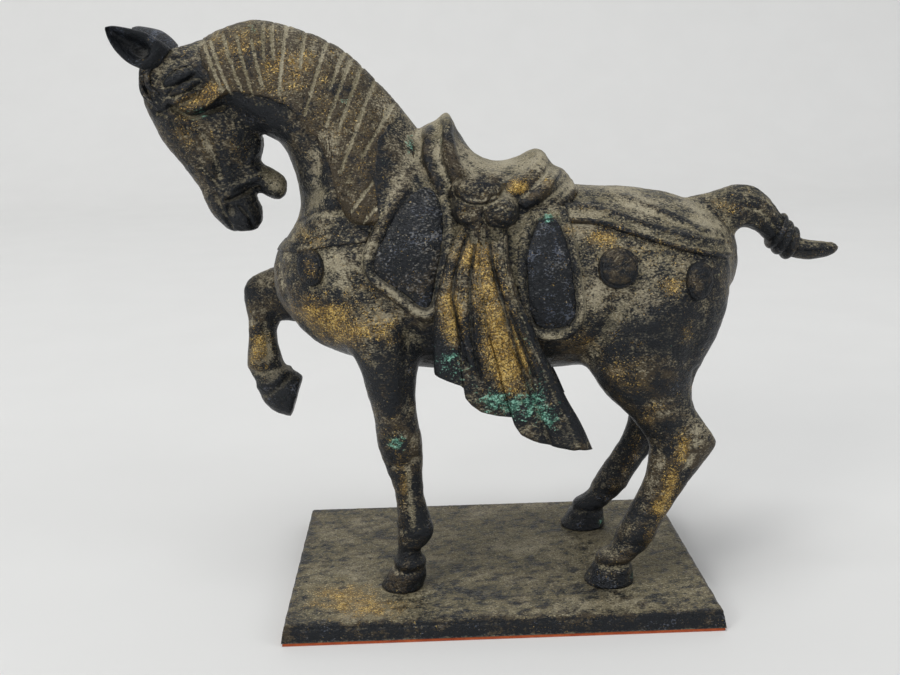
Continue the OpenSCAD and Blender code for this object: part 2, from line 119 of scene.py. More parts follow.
def set_points(piece, points):
    """Moves the piece's vertices to the given millimetre places."""
    piece.data.vertices.foreach_set("co", ((points + LIFTED) * MM).astype(np.float32).ravel())
    piece.data.update()


def normals_of(piece):
    """The unit normal of each vertex."""
    flat = np.empty(len(piece.data.vertices) * 3, np.float32)
    piece.data.vertices.foreach_get("normal", flat)
    return flat.reshape(-1, 3).astype(float)


def edges_of(piece):
    """The pairs of vertices that the piece's edges join."""
    flat = np.empty(len(piece.data.edges) * 2, np.int32)
    piece.data.edges.foreach_get("vertices", flat)
    return flat.reshape(-1, 2)


def neighbour_mean(values, edges):
    """The mean of each vertex's neighbours, summed over the edges with bincount."""
    a, b = edges[:, 0], edges[:, 1]
    count = np.bincount(a, minlength=len(values)) + np.bincount(b, minlength=len(values))
    columns = [np.bincount(a, v[b], len(values)) + np.bincount(b, v[a], len(values)) for v in values.T]
    return np.stack(columns, 1) / np.maximum(count, 1)[:, None]


def relaxed(points, edges, weight, passes):
    """Points drawn towards the mean of their neighbours, by a weight of their own, again and again."""
    weight = np.broadcast_to(weight, len(points))[:, None]
    for _ in range(passes):
        points = points + weight * (neighbour_mean(points, edges) - points)
    return points


def finished_with(piece, kind, **settings):
    """The piece with a modifier applied to its mesh."""
    modifier = piece.modifiers.new(kind.title(), kind)
    for key, value in settings.items():
        setattr(modifier, key, value)
    shape = piece.evaluated_get(bpy.context.evaluated_depsgraph_get())
    mesh = bpy.data.meshes.new_from_object(shape)
    piece.modifiers.clear()
    old, piece.data = piece.data, mesh
    bpy.data.meshes.remove(old)
    mesh.polygons.foreach_set("use_smooth", np.ones(len(mesh.polygons), bool))
    return piece


def line_distance(u, v, line):
    """Least distance in the plane from each place to a line of straight stretches."""
    best = np.full(np.shape(u), 1e9)
    for (au, av), (bu, bv) in zip(line[:-1], line[1:]):
        du, dv = bu - au, bv - av
        t = np.clip(((u - au) * du + (v - av) * dv) / (du * du + dv * dv), 0, 1)
        best = np.minimum(best, np.hypot(u - au - t * du, v - av - t * dv))
    return best


# ---- Lofts: a closed profile carried along rows of (front x, z), (back x, z), y, half width ----
def ring_points(rows, sides, grow=0.0, squareness=1.0, narrowing=0.0):
    """Each row's superellipse: reach times sin(a)^e along front-to-back, half width times cos(a)^e across."""
    rows = np.asarray(rows, float)
    grow = np.broadcast_to(grow, len(rows))[:, None]
    turn = np.linspace(0, 2 * math.pi, sides, endpoint=False)
    c, s = signed_power(np.cos(turn), squareness), signed_power(np.sin(turn), squareness)
    front, back = rows[:, [0, 4, 1]], rows[:, [2, 4, 3]]
    middle, half = (front + back) / 2, (back - front) / 2
    reach = np.maximum(np.linalg.norm(half, axis=1), 0.01)
    along = half / reach[:, None]
    width = np.maximum(rows[:, 5, None] * (1 - narrowing * s) + grow, 0.05) * c
    points = middle[:, None] + along[:, None] * (np.maximum(reach[:, None] + grow, 0.05) * s)[..., None]
    points[..., 1] += width
    return points


def handed(rows):
    """True where the rings turn the other way round the loft's path, so its faces are turned over."""
    rows = np.asarray(rows, float)
    middle = (rows[:, 0:2] + rows[:, 2:4]) / 2
    across = rows[:-1, 2:4] - rows[:-1, 0:2]
    step = np.diff(middle, axis=0)
    return (step[:, 0] * across[:, 1] - step[:, 1] * across[:, 0]).sum() > 0


def loft(rows, count, sides, grow=0.0, squareness=1.0, narrowing=0.0):
    """Points and faces of the closed loft: its rings as a grid, and a fan of triangles on each end."""
    rings = ring_points(smooth_rows(rows, count), sides, grow, squareness, narrowing)
    points = rings.reshape(-1, 3)
    tips = np.stack([rings[0].mean(0), rings[-1].mean(0)])
    k = np.arange(sides)
    start, last = len(points), (count - 1) * sides
    first_fan = np.stack([np.full(sides, start), (k + 1) % sides, k], 1)
    last_fan = np.stack([np.full(sides, start + 1), last + k, last + (k + 1) % sides], 1)
    faces = [grid_quads(count, sides, closed=True), np.concatenate([first_fan, last_fan])]
    if handed(rows):
        faces = [f[:, ::-1] for f in faces]
    return np.concatenate([points, tips]), faces


def joined(name, *shapes):
    """One object of several shapes' points and faces."""
    starts = np.cumsum([0] + [len(points) for points, _ in shapes])
    faces = [f + start for start, (_, group) in zip(starts, shapes) for f in group]
    return new_object(name, np.concatenate([points for points, _ in shapes]), faces)


# ---- Stations of the castings, in millimetres --------------------------------------------------
BARREL = [(x, low, x, high, 0, width) for x, low, high, width in [
    (-65, 98, 102, 1.5), (-64, 93, 107, 8), (-60.3, 87.5, 112, 14), (-54, 80.5, 121, 19),
    (-44, 75.5, 128, 22), (-32, 72.5, 131, 23.5), (-16, 70.5, 130, 24.5), (0, 70, 128, 25.5),
    (16, 70, 125.5, 26), (30, 71, 124.5, 26), (44, 75, 123.5, 25.5), (56, 81, 121, 23.5),
    (66, 88, 116, 18), (72, 94, 111, 10.5), (74.5, 101, 105, 2)]]
NECK = [(-59, 98, -8, 118, 0, 20), (-58, 110, -12, 131, 0, 19), (-56, 120, -20.5, 140, 0, 17),
        (-57, 130, -29, 151, 0, 14), (-60.5, 138.5, -41, 163.3, 0, 12), (-66, 142, -52.5, 169.3, 0, 10.5),
        (-72, 146, -66, 172.7, 0, 9.5), (-79, 151, -79, 169.3, 0, 9), (-86, 154, -89.5, 165.7, 0, 8),
        (-91, 157, -94, 163, 0, 5)]
SKULL = [(-97, 164.5, -82, 168, 0, 4), (-99, 158, -76, 158, 0, 9), (-99.3, 151.5, -69.5, 149, 0, 9.8),
         (-97.5, 146, -66.5, 141.5, 0, 9), (-94.5, 139.5, -66.5, 136, 0, 7.5),
         (-90, 133.5, -69, 130.5, 0, 6.3), (-86, 127.5, -69.6, 126, 0, 5.8),
         (-83.7, 121.5, -67.7, 120.5, 0, 6.1), (-81.4, 117.5, -67.6, 116.6, 0, 5.6),
         (-77.5, 113.7, -69.6, 113.7, 0, 3.6)]
JAW = [(-74, 140, -75, 128, 0, 5), (-70, 136.5, -71, 126, 0, 4.8), (-67, 133.6, -68, 124.8, 0, 4.6),
       (-63.8, 131.8, -65, 123.2, 0, 4.2), (-61.4, 130.3, -62, 122.5, 0, 3.8),
       (-59.7, 128, -60.2, 124.2, 0, 2.4)]
STANDING_FORELEG = [(100, -48, -24, -13, 10), (88, -46, -20, -15, 9.5), (80, -42.5, -20.5, -16.5, 8.5),
                    (75, -40, -22.5, -17.5, 7.5), (68, -38, -23.5, -18.2, 6.6),
                    (60, -36, -23.3, -18.8, 5.6), (52, -35.5, -22, -19, 5.5), (45, -33.3, -22.2, -19, 4.6),
                    (36, -30.7, -22, -19, 3.9), (29, -30.5, -20.4, -19, 4.2),
                    (24.5, -30.6, -19.3, -19, 4.7), (21, -30.7, -21, -19, 4.4),
                    (17.5, -30.6, -23.5, -19, 4.1), (14, -31.5, -22.2, -19, 4.9),
                    (11, -33.2, -21.8, -19, 5.6), (6.2, -36, -23, -19, 6.4)]
STANDING_HINDLEG = [(114, 44, 62, -12, 9), (104, 38, 68, -14, 12), (93, 31, 68, -15.5, 12.5),
                    (83, 26.5, 65.5, -16.5, 11.5), (75, 26, 61, -17.5, 9.8), (67, 30.5, 57.8, -18.5, 7.8),
                    (60, 37.5, 58.8, -19, 6.3), (54, 42.5, 62.8, -19.2, 5.3),
                    (49.5, 45.2, 65.6, -19.3, 4.9), (45, 45, 63, -19.4, 4.6), (38, 43.8, 58, -19.5, 4.2),
                    (30, 40, 52.8, -19.6, 4.1), (23, 36.3, 48.8, -19.8, 4.7), (17.5, 34, 45.8, -20, 4.9),
                    (13.8, 29.8, 41, -20, 4.9), (10, 28.2, 40.8, -20, 6),
                    (6.2, 26, 41.4, -20, 7.2)]
RAISED_FORELEG = [(-34, 104, -34, 84, 11, 8), (-44, 104, -44, 80, 13.5, 8.5),
                  (-54, 102, -54, 80.5, 15, 7.6), (-62, 100.5, -61.5, 81.8, 15.7, 6.6),
                  (-69, 99.5, -65, 82.3, 16, 5.9), (-76.5, 95.5, -66.3, 82.5, 16, 5.6),
                  (-77.6, 89, -67.2, 81, 16, 5.1), (-76.9, 83, -67.9, 79, 16, 4.5),
                  (-77.2, 76.5, -67.8, 75.5, 16, 4), (-78, 71.5, -67, 71, 16, 4.3),
                  (-78.2, 67.5, -66, 67.8, 16, 4.6), (-76, 62.5, -63.8, 66, 16, 4.4),
                  (-74.5, 57, -62.6, 65.4, 16, 5), (-71.5, 52.8, -61.7, 64.6, 16, 5.6),
                  (-65, 50, -60.5, 63.5, 16, 5.9)]
TAIL = [(58, 120, 64, 106, 0, 5), (68, 122.3, 71, 107, 0, 5.6), (75, 124, 75.5, 110.3, 0, 5.5),
        (80.5, 122.3, 78, 110, 0, 5.3), (85, 118.5, 80.5, 108.8, 0, 5), (88.5, 114.3, 84, 106, 0, 4.6),
        (92, 110, 88.5, 102, 0, 4.3), (95.5, 107.3, 94, 100.3, 0, 4.1), (100, 106.4, 100, 100.3, 0, 3.8),
        (104.5, 106, 104.5, 101.2, 0, 2.6), (107, 104.6, 107, 103, 0, 0.8)]


def leg_rows(stations, side=1.0, lean=0.0):
    """A leg's level rows. lean moves it back with height, as the right hind leg stands."""
    rows = []
    for z, front, back, y, width in stations:
        shift = lean * min(z - 22, 30)
        rows.append((front + shift, z, back + shift, z, y * side, width))
    return rows


def waves(points, length, seed):
    """A slow cast unevenness, about -1 to 1: the sum of six products of two sines, each in a direction of
    its own."""
    draw = np.random.default_rng(seed)
    total = np.zeros(len(points))
    for _ in range(6):
        first, second = draw.normal(size=(2, 3))
        shift = draw.uniform(0, 6.28, 2)
        first, second = (v / np.linalg.norm(v) * 6.28 / length for v in (first, second))
        total += np.sin(points @ first + shift[0]) * np.sin(points @ second * 1.3 + shift[1])
    return total / 2.2


def groove(x, z, line, width):
    """How near each place in the side view is to a curve: the bell of its distance."""
    return bell(line_distance(x, z, smooth_rows(line, 12)), width)


def spots(x, z, places):
    """The sum of bells round the listed places: x, z, the two radii and the amount of each."""
    total = np.zeros(np.shape(x))
    for px, pz, rx, rz, amount in places:
        total += amount * np.exp(-(((x - px) / rx) ** 2) - ((z - pz) / rz) ** 2)
    return total


def casting_form():
    """All castings of the horse as one smooth skin: the lofts are fused by a voxel remesh, then
    the skin is relaxed, most of all where one casting meets the next."""
    legs = [leg_rows(STANDING_FORELEG), leg_rows(STANDING_HINDLEG), leg_rows(STANDING_HINDLEG, -1.07, 0.1),
            RAISED_FORELEG]
    shapes = [loft(BARREL, 60, 72, squareness=0.92, narrowing=0.1), loft(NECK, 50, 60, narrowing=0.3),
              loft(SKULL, 50, 48, squareness=0.95), loft(JAW, 24, 32), loft(TAIL, 60, 36)]
    shapes += [loft(rows, 80, 36, squareness=0.95) for rows in legs]
    form = finished_with(joined("casting_form", *shapes), "REMESH", mode="VOXEL", voxel_size=CAST_VOXEL * MM)
    points, edges = points_of(form), edges_of(form)
    x, y, z = points.T
    side = np.abs(y)
    joins = np.zeros(len(points))
    for centre, reach in [((-38, 19, 82), 14), ((34, 20, 80), 14), ((60, 12, 84), 13), ((-57, 13, 88), 11),
                          ((-30, 15, 128), 16), ((-56, 8, 115), 13), ((66, 4, 116), 8), ((74, 0, 107), 6),
                          ((-70, 7, 144), 6), ((28, 12, 74), 13), ((48, 22, 104), 20), ((-34, 18, 96), 16)]:
        distance = np.sqrt((x - centre[0]) ** 2 + (side - centre[1]) ** 2 + (z - centre[2]) ** 2)
        joins = np.maximum(joins, ramp(-distance, -reach, -reach * 0.4))
    standing = ramp(z, DRAWN_FLOOR + 0.6, DRAWN_FLOOR + 2.5)
    points = relaxed(points, edges, 0.5 * standing, 10)
    points = relaxed(points, edges, 0.6 * joins * standing, 90)
    set_points(form, points)
    normals = normals_of(form)
    points = points + normals * (body_relief(points, normals) * standing)[:, None]
    set_points(form, relaxed(points, edges, 0.4 * standing, 2))
    return form


# Relief lines of the body in side view: which side, the curve, half breadth, height
BODY_LINES = [
    (0, [(-45, 134), (-44, 126), (-47, 121), (-52, 118)], 2.6, 1.1),
    (0, [(-50, 137), (-50, 127), (-53, 120)], 2.0, -0.9),
    (0, [(-62, 139), (-57, 128), (-57, 118)], 1.8, -0.5),
    (0, [(-56, 116.6), (-50, 119.6), (-42, 120.2), (-36, 119.5)], 1.3, -0.7),
    (0, [(27, 73), (29, 82), (35, 93)], 2.6, -0.8),
    (0, [(58, 98), (57, 86), (55, 74)], 2.6, -0.6),
    (0, [(46, 92), (44, 82), (46, 72)], 5.0, 0.7),
    (0, [(58, 72), (59.5, 62)], 1.5, -0.9),
    (0, [(50, 59), (50, 49), (52, 42)], 2.2, 0.5),
    (0, [(57.5, 47), (50, 30)], 1.2, -0.5),
    (0, [(51, 45), (44, 28), (41, 22)], 1.6, 0.35),
    (0, [(24, 124.6), (34, 123.6), (44, 120), (54, 115.6), (64, 111.5)], 0.8, 0.5),
    (0, [(24, 122.4), (36, 120.9), (50, 116), (62, 111)], 0.8, -0.4),
    (0, [(-64, 113), (-62.5, 104), (-60, 95)], 1.1, -0.5),
    (-1, [(-26.5, 45), (-25.6, 28)], 1.2, -0.55),
    (-1, [(-29, 46), (-28, 28)], 1.5, 0.35),
    (-1, [(-33, 57), (-29, 59), (-25, 57)], 1.5, 0.35),
    (-1, [(-34, 47), (-29, 46), (-24, 48)], 1.4, -0.4),
    (-1, [(-33, 84), (-31, 72), (-30, 62)], 3.0, 0.5),
    (-1, [(-25, 86), (-26, 76), (-26, 64)], 2.0, -0.7),
    (1, [(-76, 80), (-74.5, 72)], 1.8, 0.5),
    (1, [(-71, 82), (-70, 72)], 1.4, -0.7),
    (1, [(-77, 65.5), (-70, 66.3), (-63, 68)], 1.2, -0.7),
    (1, [(-76, 60.6), (-70, 62.5), (-64, 66.5)], 0.9, 0.6),
    (1, [(-74, 57.6), (-68, 61), (-64, 65)], 0.8, -0.5),
]
# Bosses of the body: side, x, z, radius along, radius up, height
BODY_BOSSES = [
    (0, -42, 108, 4.5, 6, 0.7), (0, -47, 94, 8, 7, 0.9), (0, -37, 86, 6, 7, 0.7), (0, -24, 83, 4, 5, -1.0),
    (0, 52, 92, 9, 11, 0.8), (0, 36, 88, 8, 8, 0.5), (0, 63, 54, 3, 3, 0.6), (0, 55, 66, 4, 4, -0.3),
    (0, 44.5, 22, 3, 3, 0.6), (-1, -21, 22.5, 2.5, 3, 0.7), (-1, -29, 52, 5, 4.5, 0.4),
    (1, -77, 93, 4, 5, 0.4), (1, -66.5, 66.5, 2.6, 2.2, 0.7),
]


def body_relief(points, normals):
    """Height of muscles, tendons, folds and hoof rings over the plain castings, read in side view."""
    x, y, z = points.T
    x = np.where((y > 0) & (z < 80) & (x > 15), x - 0.1 * np.clip(z - 22, None, 30), x)
    sideways = ramp(np.abs(normals[:, 1]), 0.15, 0.6)
    height = 0.1 * waves(points, 9, 3) + 0.06 * waves(points, 4, 4) + 0.035 * waves(points, 1.8, 5)
    for side, line, width, rise in BODY_LINES:
        on_side = sideways if side == 0 else sideways * (y * side > 0)
        height += rise * on_side * groove(x, z, line, width)
    for side, bx, bz, rx, rz, rise in BODY_BOSSES:
        on_side = sideways if side == 0 else sideways * (y * side > 0)
        height += rise * on_side * np.exp(-(((x - bx) / rx) ** 2) - ((z - bz) / rz) ** 2)
    hoof = (z < 24) & ((x > 20) | (y < 0))
    height += hoof * (0.5 * bell(z - 14.4, 0.9) - 0.45 * bell(z - 12.4, 0.8) - 0.25 * bell(z - 18.6, 1.1))
    height += hoof * 0.05 * np.sin(z * 3.1) * ramp(12 - z, 0, 1.5)
    chest = ramp(-x, 50, 58) * ramp(110 - z, 0, 8) * ramp(z, 76, 84)
    rump = ramp(x, 52, 66) * ramp(z, 92, 106) * ramp(120 - z, 0, 5)
    return height - chest * 1.4 * bell(y, 1.6) - rump * 0.6 * bell(y, 2.2)


# ---- Parting the fused skin into its castings --------------------------------------------------
def inside(x, z, outline):
    """Even-odd test of side-view places against an outline."""
    within = np.zeros(np.shape(x), bool)
    for (ax, az), (bx, bz) in zip(outline, np.roll(outline, -1, axis=0)):
        crosses = (az > z) != (bz > z)
        with np.errstate(divide="ignore", invalid="ignore"):
            within ^= crosses & (x < (bx - ax) * (z - az) / (bz - az) + ax)
    return within


HEAD_OUTLINE = [(-90, 169), (-66, 141.8), (-59.3, 134), (-58.5, 120), (-66, 105), (-130, 105), (-130, 195),
                (-90, 195)]
LEG_SEAM = 69.5
# Seam planes: point, normal, and the lowest and highest corner of the stretch they cut
SEAMS = [
    ((0, 0, LEG_SEAM), (0, 0, 1), (-60, -40, 60), (75, 40, 80)),
    ((-60, 15.5, 90), (-0.78, 0.62, 0), (-80, 2, 76), (-48, 30, 110)),
    ((63, 0, 121), (0.816, 0, 0.578), (58, -20, 104), (80, 20, 130)),
    ((-58, 0, 116), (-0.482, 0, 0.876), (-75, -40, 100), (0, 40, 150)),
    ((-90, 0, 169), (-0.75, 0, -0.662), (-100, -20, 136), (-60, 20, 176)),
]
CASTINGS = ["torso", "neck", "head", "foreleg_left", "foreleg_right", "hindleg_left", "hindleg_right", "tail"]


def casting_of(centres):
    """Number of the casting that each face belongs to, from where its centre lies."""
    x, y, z = centres.T
    number = np.zeros(len(centres), int)
    number[(z > 116 + (x + 58) * 0.55) & (x < 0) & (z > 100)] = 1
    number[inside(x, z, HEAD_OUTLINE)] = 2
    low = z < LEG_SEAM
    number[low & (y < 0) & (x < 0)] = 3
    number[low & (y < 0) & (x > 0)] = 5
    number[low & (y > 0) & (x > 0)] = 6
    raised = ((x + 60) * -0.78 + (y - 15.5) * 0.62 > 0) | (z < 76)
    number[raised & (y > 2) & (x < -50) & (z < 110) & (number != 2)] = 4
    number[((x - 63) * 0.816 + (z - 121) * 0.578 > 0) & (x > 58) & (z > 104)] = 7
    return number


def parted(form):
    """The castings as closed pieces of their own, cut from the fused skin at their seams."""
    bm = bmesh.new()
    bm.from_mesh(form.data)
    for point, normal, low, high in SEAMS:
        bm.faces.ensure_lookup_table()
        low, high = (np.array(low) + LIFTED) * MM, (np.array(high) + LIFTED) * MM
        faces = [f for f in bm.faces if all(a < c < b for a, c, b in zip(low, f.calc_center_median(), high))]
        geometry = set(faces)
        for f in faces:
            geometry.update(f.edges, f.verts)
        place = (np.array(point) + LIFTED) * MM
        bmesh.ops.bisect_plane(bm, geom=list(geometry), dist=1e-7, plane_co=place, plane_no=normal)
    whole = bpy.data.meshes.new("whole")
    bm.to_mesh(whole)
    bm.free()
    count, corners = len(whole.polygons), len(whole.loops)
    start, size, corner = np.empty(count, np.int32), np.empty(count, np.int32), np.empty(corners, np.int32)
    centre, places = np.empty(count * 3, np.float32), np.empty(len(whole.vertices) * 3, np.float32)
    whole.polygons.foreach_get("loop_start", start)
    whole.polygons.foreach_get("loop_total", size)
    whole.polygons.foreach_get("center", centre)
    whole.loops.foreach_get("vertex_index", corner)
    whole.vertices.foreach_get("co", places)
    places = places.reshape(-1, 3) / MM - LIFTED
    number = casting_of(centre.reshape(-1, 3) / MM - LIFTED)
    pieces = {}
    for index, name in enumerate(CASTINGS):
        groups = []
        for sides in np.unique(size[number == index]):
            chosen = start[(number == index) & (size == sides)]
            groups.append(corner[chosen[:, None] + np.arange(sides)])
        used = np.unique(np.concatenate([g.ravel() for g in groups]))
        groups = [np.searchsorted(used, g) for g in groups]
        pieces[name] = new_object("cast_" + name, places[used], groups)
    bpy.data.meshes.remove(whole)
    return pieces


def capped(piece):
    """The piece with its seam openings closed by flat faces."""
    bm = bmesh.new()
    bm.from_mesh(piece.data)
    rim = [e for e in bm.edges if e.is_boundary]
    if rim:
        caps = bmesh.ops.holes_fill(bm, edges=rim, sides=0)["faces"]
        caps = bmesh.ops.triangulate(bm, faces=caps)["faces"]
        for face in caps:
            face.smooth = False
    bmesh.ops.recalc_face_normals(bm, faces=bm.faces)
    bm.to_mesh(piece.data)
    bm.free()
    return piece


# ---- Skins that lie on the castings ------------------------------------------------------------
def shell(top, under):
    """Points and faces of a closed shell: the top grid, the under grid turned over, and a wall of quads
    round their rims."""
    rows, columns = top.shape[:2]
    index = np.arange(rows * columns).reshape(rows, columns)
    rim = np.concatenate([index[0, :-1], index[:-1, -1], index[-1, :0:-1], index[:0:-1, 0]])
    after, count = np.roll(rim, -1), rows * columns
    quads = grid_quads(rows, columns)
    wall = np.stack([rim, rim + count, after + count, after], 1)
    return np.concatenate([top.reshape(-1, 3), under.reshape(-1, 3)]), [quads, quads[:, ::-1] + count, wall]


def outward(piece):
    """The piece with all its faces turned outwards."""
    bm = bmesh.new()
    bm.from_mesh(piece.data)
    bmesh.ops.recalc_face_normals(bm, faces=bm.faces)
    bm.to_mesh(piece.data)
    bm.free()
    return piece


def grid_normals(grid, outward):
    """Unit normals of a grid, the cross product of its two slopes, on the side that outward points to."""
    normal = np.cross(np.gradient(grid, axis=0), np.gradient(grid, axis=1))
    normal /= np.maximum(np.linalg.norm(normal, axis=-1, keepdims=True), 1e-9)
    return normal * np.sign((normal * outward).sum())


def laid_on(form, grid, outward, across=False):
    """The grid dropped onto the castings, with its normals there: along its own normals, or straight
    across the horse. outward is an array of rough outward directions."""
    rows, columns = grid.shape[:2]
    quads = grid_quads(rows, columns)
    normal = np.cross(np.gradient(grid, axis=0), np.gradient(grid, axis=1))
    if (normal * outward).sum() < 0:
        quads = quads[:, ::-1]
    sheet = new_object("laid", grid.reshape(-1, 3), [quads])
    settings = dict(target=form, wrap_method="PROJECT", use_negative_direction=True)
    settings.update(dict(use_project_y=True, use_positive_direction=True) if across else
                    dict(use_positive_direction=False))
    finished_with(sheet, "SHRINKWRAP", **settings)
    finished_with(sheet, "SHRINKWRAP", target=form, wrap_method="NEAREST_SURFACEPOINT")
    places = points_of(sheet)
    if not across:
        places = relaxed(places, edges_of(sheet), 0.5, 3)
    places = places.reshape(grid.shape)
    bpy.data.objects.remove(sheet)
    return places, grid_normals(places, outward)


def rim_share(rows, columns, width):
    """0 on the grid's rim, rising smoothly to 1 at width points inside it."""
    i, j = np.arange(rows), np.arange(columns)
    a, b = np.minimum(i, rows - 1 - i), np.minimum(j, columns - 1 - j)
    return ramp(np.minimum(a[:, None], b[None, :]) / width, 0, 1)


SUNK_RIM, SKIN_WALL = 0.3, 0.25


def skin(places, normals, height, rim=3):
    """A shell over laid places: its top at the given height, its rim and its underside sunk in them."""
    share = rim_share(*height.shape, rim)
    top = places + normals * ((height + SUNK_RIM) * share - SUNK_RIM)[..., None]
    under = places - normals * (SUNK_RIM + SKIN_WALL)
    return shell(top, under)


def disc_grid(count):
    """A square grid drawn into the unit disc: each side bent outwards by sqrt(1 - t^2/2)."""
    u, v = np.meshgrid(np.linspace(-1, 1, count), np.linspace(-1, 1, count), indexing="ij")
    return u * np.sqrt(1 - v * v / 2), v * np.sqrt(1 - u * u / 2)


def leaf_grid(outline, count):
    """The disc grid stretched out to a side-view outline round its middle."""
    a, b = disc_grid(count)
    outline = smooth_rows(np.vstack([outline, outline[:1]]), 241)
    middle = outline[:-1].mean(0)
    turn = np.arctan2(outline[:, 1] - middle[1], outline[:, 0] - middle[0])
    order = np.argsort(turn[:-1])
    away = np.hypot(*(outline[order] - middle).T)
    reach = np.interp(np.arctan2(b, a), turn[order], away, period=2 * math.pi)
    return middle[0] + a * reach, middle[1] + b * reach


def on_side(form, x, z, side):
    """Places and normals where a side-view grid falls on one side of the horse."""
    grid = np.stack([x, np.full_like(x, side * 60), z], -1)
    return laid_on(form, grid, np.broadcast_to([0, side, 0.0], grid.shape), across=True)


BARREL_ROWS = np.array([(r[0], r[1], r[3], r[5]) for r in BARREL], float)
BARREL_CURVE = smooth_rows(BARREL_ROWS, 400)


def round_barrel(x, turn, grow):
    """Places round the barrel at x: half width times cos(turn), middle height plus half height times
    sin(turn), both grown."""
    low, high, width = (np.interp(x, BARREL_CURVE[:, 0], BARREL_CURVE[:, k]) for k in (1, 2, 3))
    y = (width + grow) * np.cos(turn)
    z = (low + high) / 2 + ((high - low) / 2 + grow) * np.sin(turn)
    return np.stack([x, y, z], -1)


def barrel_turn(x, z):
    """The turn round the barrel at which its side reaches height z."""
    low, high = (np.interp(x, BARREL_CURVE[:, 0], BARREL_CURVE[:, k]) for k in (1, 2))
    return np.arcsin(np.clip((z - (low + high) / 2) / ((high - low) / 2), -1, 1))


FRONT_FLAP = np.array([(-20.9, 128), (-26.5, 121.2), (-31.7, 112.5), (-34.2, 107.4), (-33.5, 103.4),
                       (-28.2, 99.2), (-19.4, 93.5), (-16.4, 104), (-14.2, 115), (-15.4, 122),
                       (-18, 127.4)], float)
REAR_FLAP = np.array([(12.4, 117), (9.6, 111.8), (8.3, 104.6), (8.7, 95.5), (10.2, 89), (13.2, 86.8),
                      (18.4, 87.2), (21.5, 90), (22, 95.2), (20.9, 105.3), (19.4, 112.3),
                      (17, 117)], float)
CLOTH_FRONT = np.array([(-20, 141), (-22, 138), (-29.5, 124), (-36, 113), (-37.9, 107), (-36.1, 101.5),
                        (-29.4, 95.5), (-23.5, 91), (-17, 86.5)], float)
CLOTH_REAR = np.array([(21.5, 128.5), (21.5, 126), (22, 119), (22.3, 114), (24.2, 102), (25.2, 92),
                       (24, 87), (20, 83.8)], float)


def flap_distance(x, z, outline):
    """Distance outside a flap's outline in side view, negative inside it."""
    closed = smooth_rows(np.vstack([outline, outline[:1]]), 60)
    away = line_distance(x, z, closed)
    return np.where(inside(x, z, closed), -away, away)


def cloth_height(x, z):
    """Height of the cloth over the castings: a plain 1.1, with a raised roll round each flap."""
    height = np.full(np.shape(x), 1.1)
    for outline, breadth in ((FRONT_FLAP, 1.5), (REAR_FLAP, 1.3)):
        away = flap_distance(x, z, outline)
        height += 1.25 * bell(away - 1.7, breadth) - 0.4 * ramp(-away, -0.4, 1)
    return height


def saddle_cloth(form):
    """A four-sided sheet over the back: x runs from the front hem to the rear hem, and the turn round
    the barrel from the left lower edge over the spine to the right one. Its lower part is dropped straight
    across instead, and the two are blended over 8 mm of height."""
    rows, columns = 130, 300
    v = np.linspace(-1, 1, columns)
    front, rear = smooth_rows(CLOTH_FRONT, 200), smooth_rows(CLOTH_REAR, 200)
    share = np.linspace(0, 1, 200)
    edges = []
    for curve in (front, rear):
        turn = np.maximum.accumulate(barrel_turn(curve[:, 0], curve[:, 1])[::-1])[::-1]
        turn = turn + (math.pi / 2 - turn[0]) * np.maximum(1 - share / 0.12, 0)
        flank = int(np.argmax(turn < 1.1))
        turn[:flank] = np.linspace(math.pi / 2, turn[flank], flank)
        edges.append([np.interp(np.abs(v), share, line) for line in (curve[:, 0], turn, curve[:, 1])])
    u = np.linspace(0, 1, rows)[:, None]
    x, turn, z = ((1 - u) * a + u * b for a, b in zip(*edges))
    bow = 4 * u * (1 - u) * ramp(np.abs(v), 0.7, 1) * 0.04
    start = round_barrel(x, turn - bow, 22)
    start[..., 1] *= np.where(v < 0, -1, 1)
    outward = start - [0, 0, 100.0]
    outward[..., 0] = 0
    places, _ = laid_on(form, start, outward)
    sign = np.where(v < 0, -1.0, 1.0)[None] + 0 * x
    sideways = np.stack([0 * x, sign, 0 * x], -1)
    low_places, _ = laid_on(form, np.stack([x, 60 * sign, z], -1), sideways, across=True)
    low = ramp(124 - z, 0, 8)[..., None]
    places = places * (1 - low) + low_places * low
    return skin(places, grid_normals(places, outward), cloth_height(places[..., 0], places[..., 2]))


def flap(form, outline, side, seed):
    """A padded leaf on the cloth: a low dome over its outline with a pressed rim and fine creases."""
    x, z = leaf_grid(outline, 110)
    places, normals = on_side(form, x, z, side)
    a, b = disc_grid(110)
    radius = np.clip(np.hypot(a, b), 0, 1)
    height = 1.15 + 1.35 * (1 - radius**3) ** 0.8
    flat = places.reshape(-1, 3)
    height += (0.05 * waves(flat, 2.2, seed) + 0.025 * waves(flat, 0.9, seed + 1)).reshape(height.shape)
    return skin(places, normals, height)


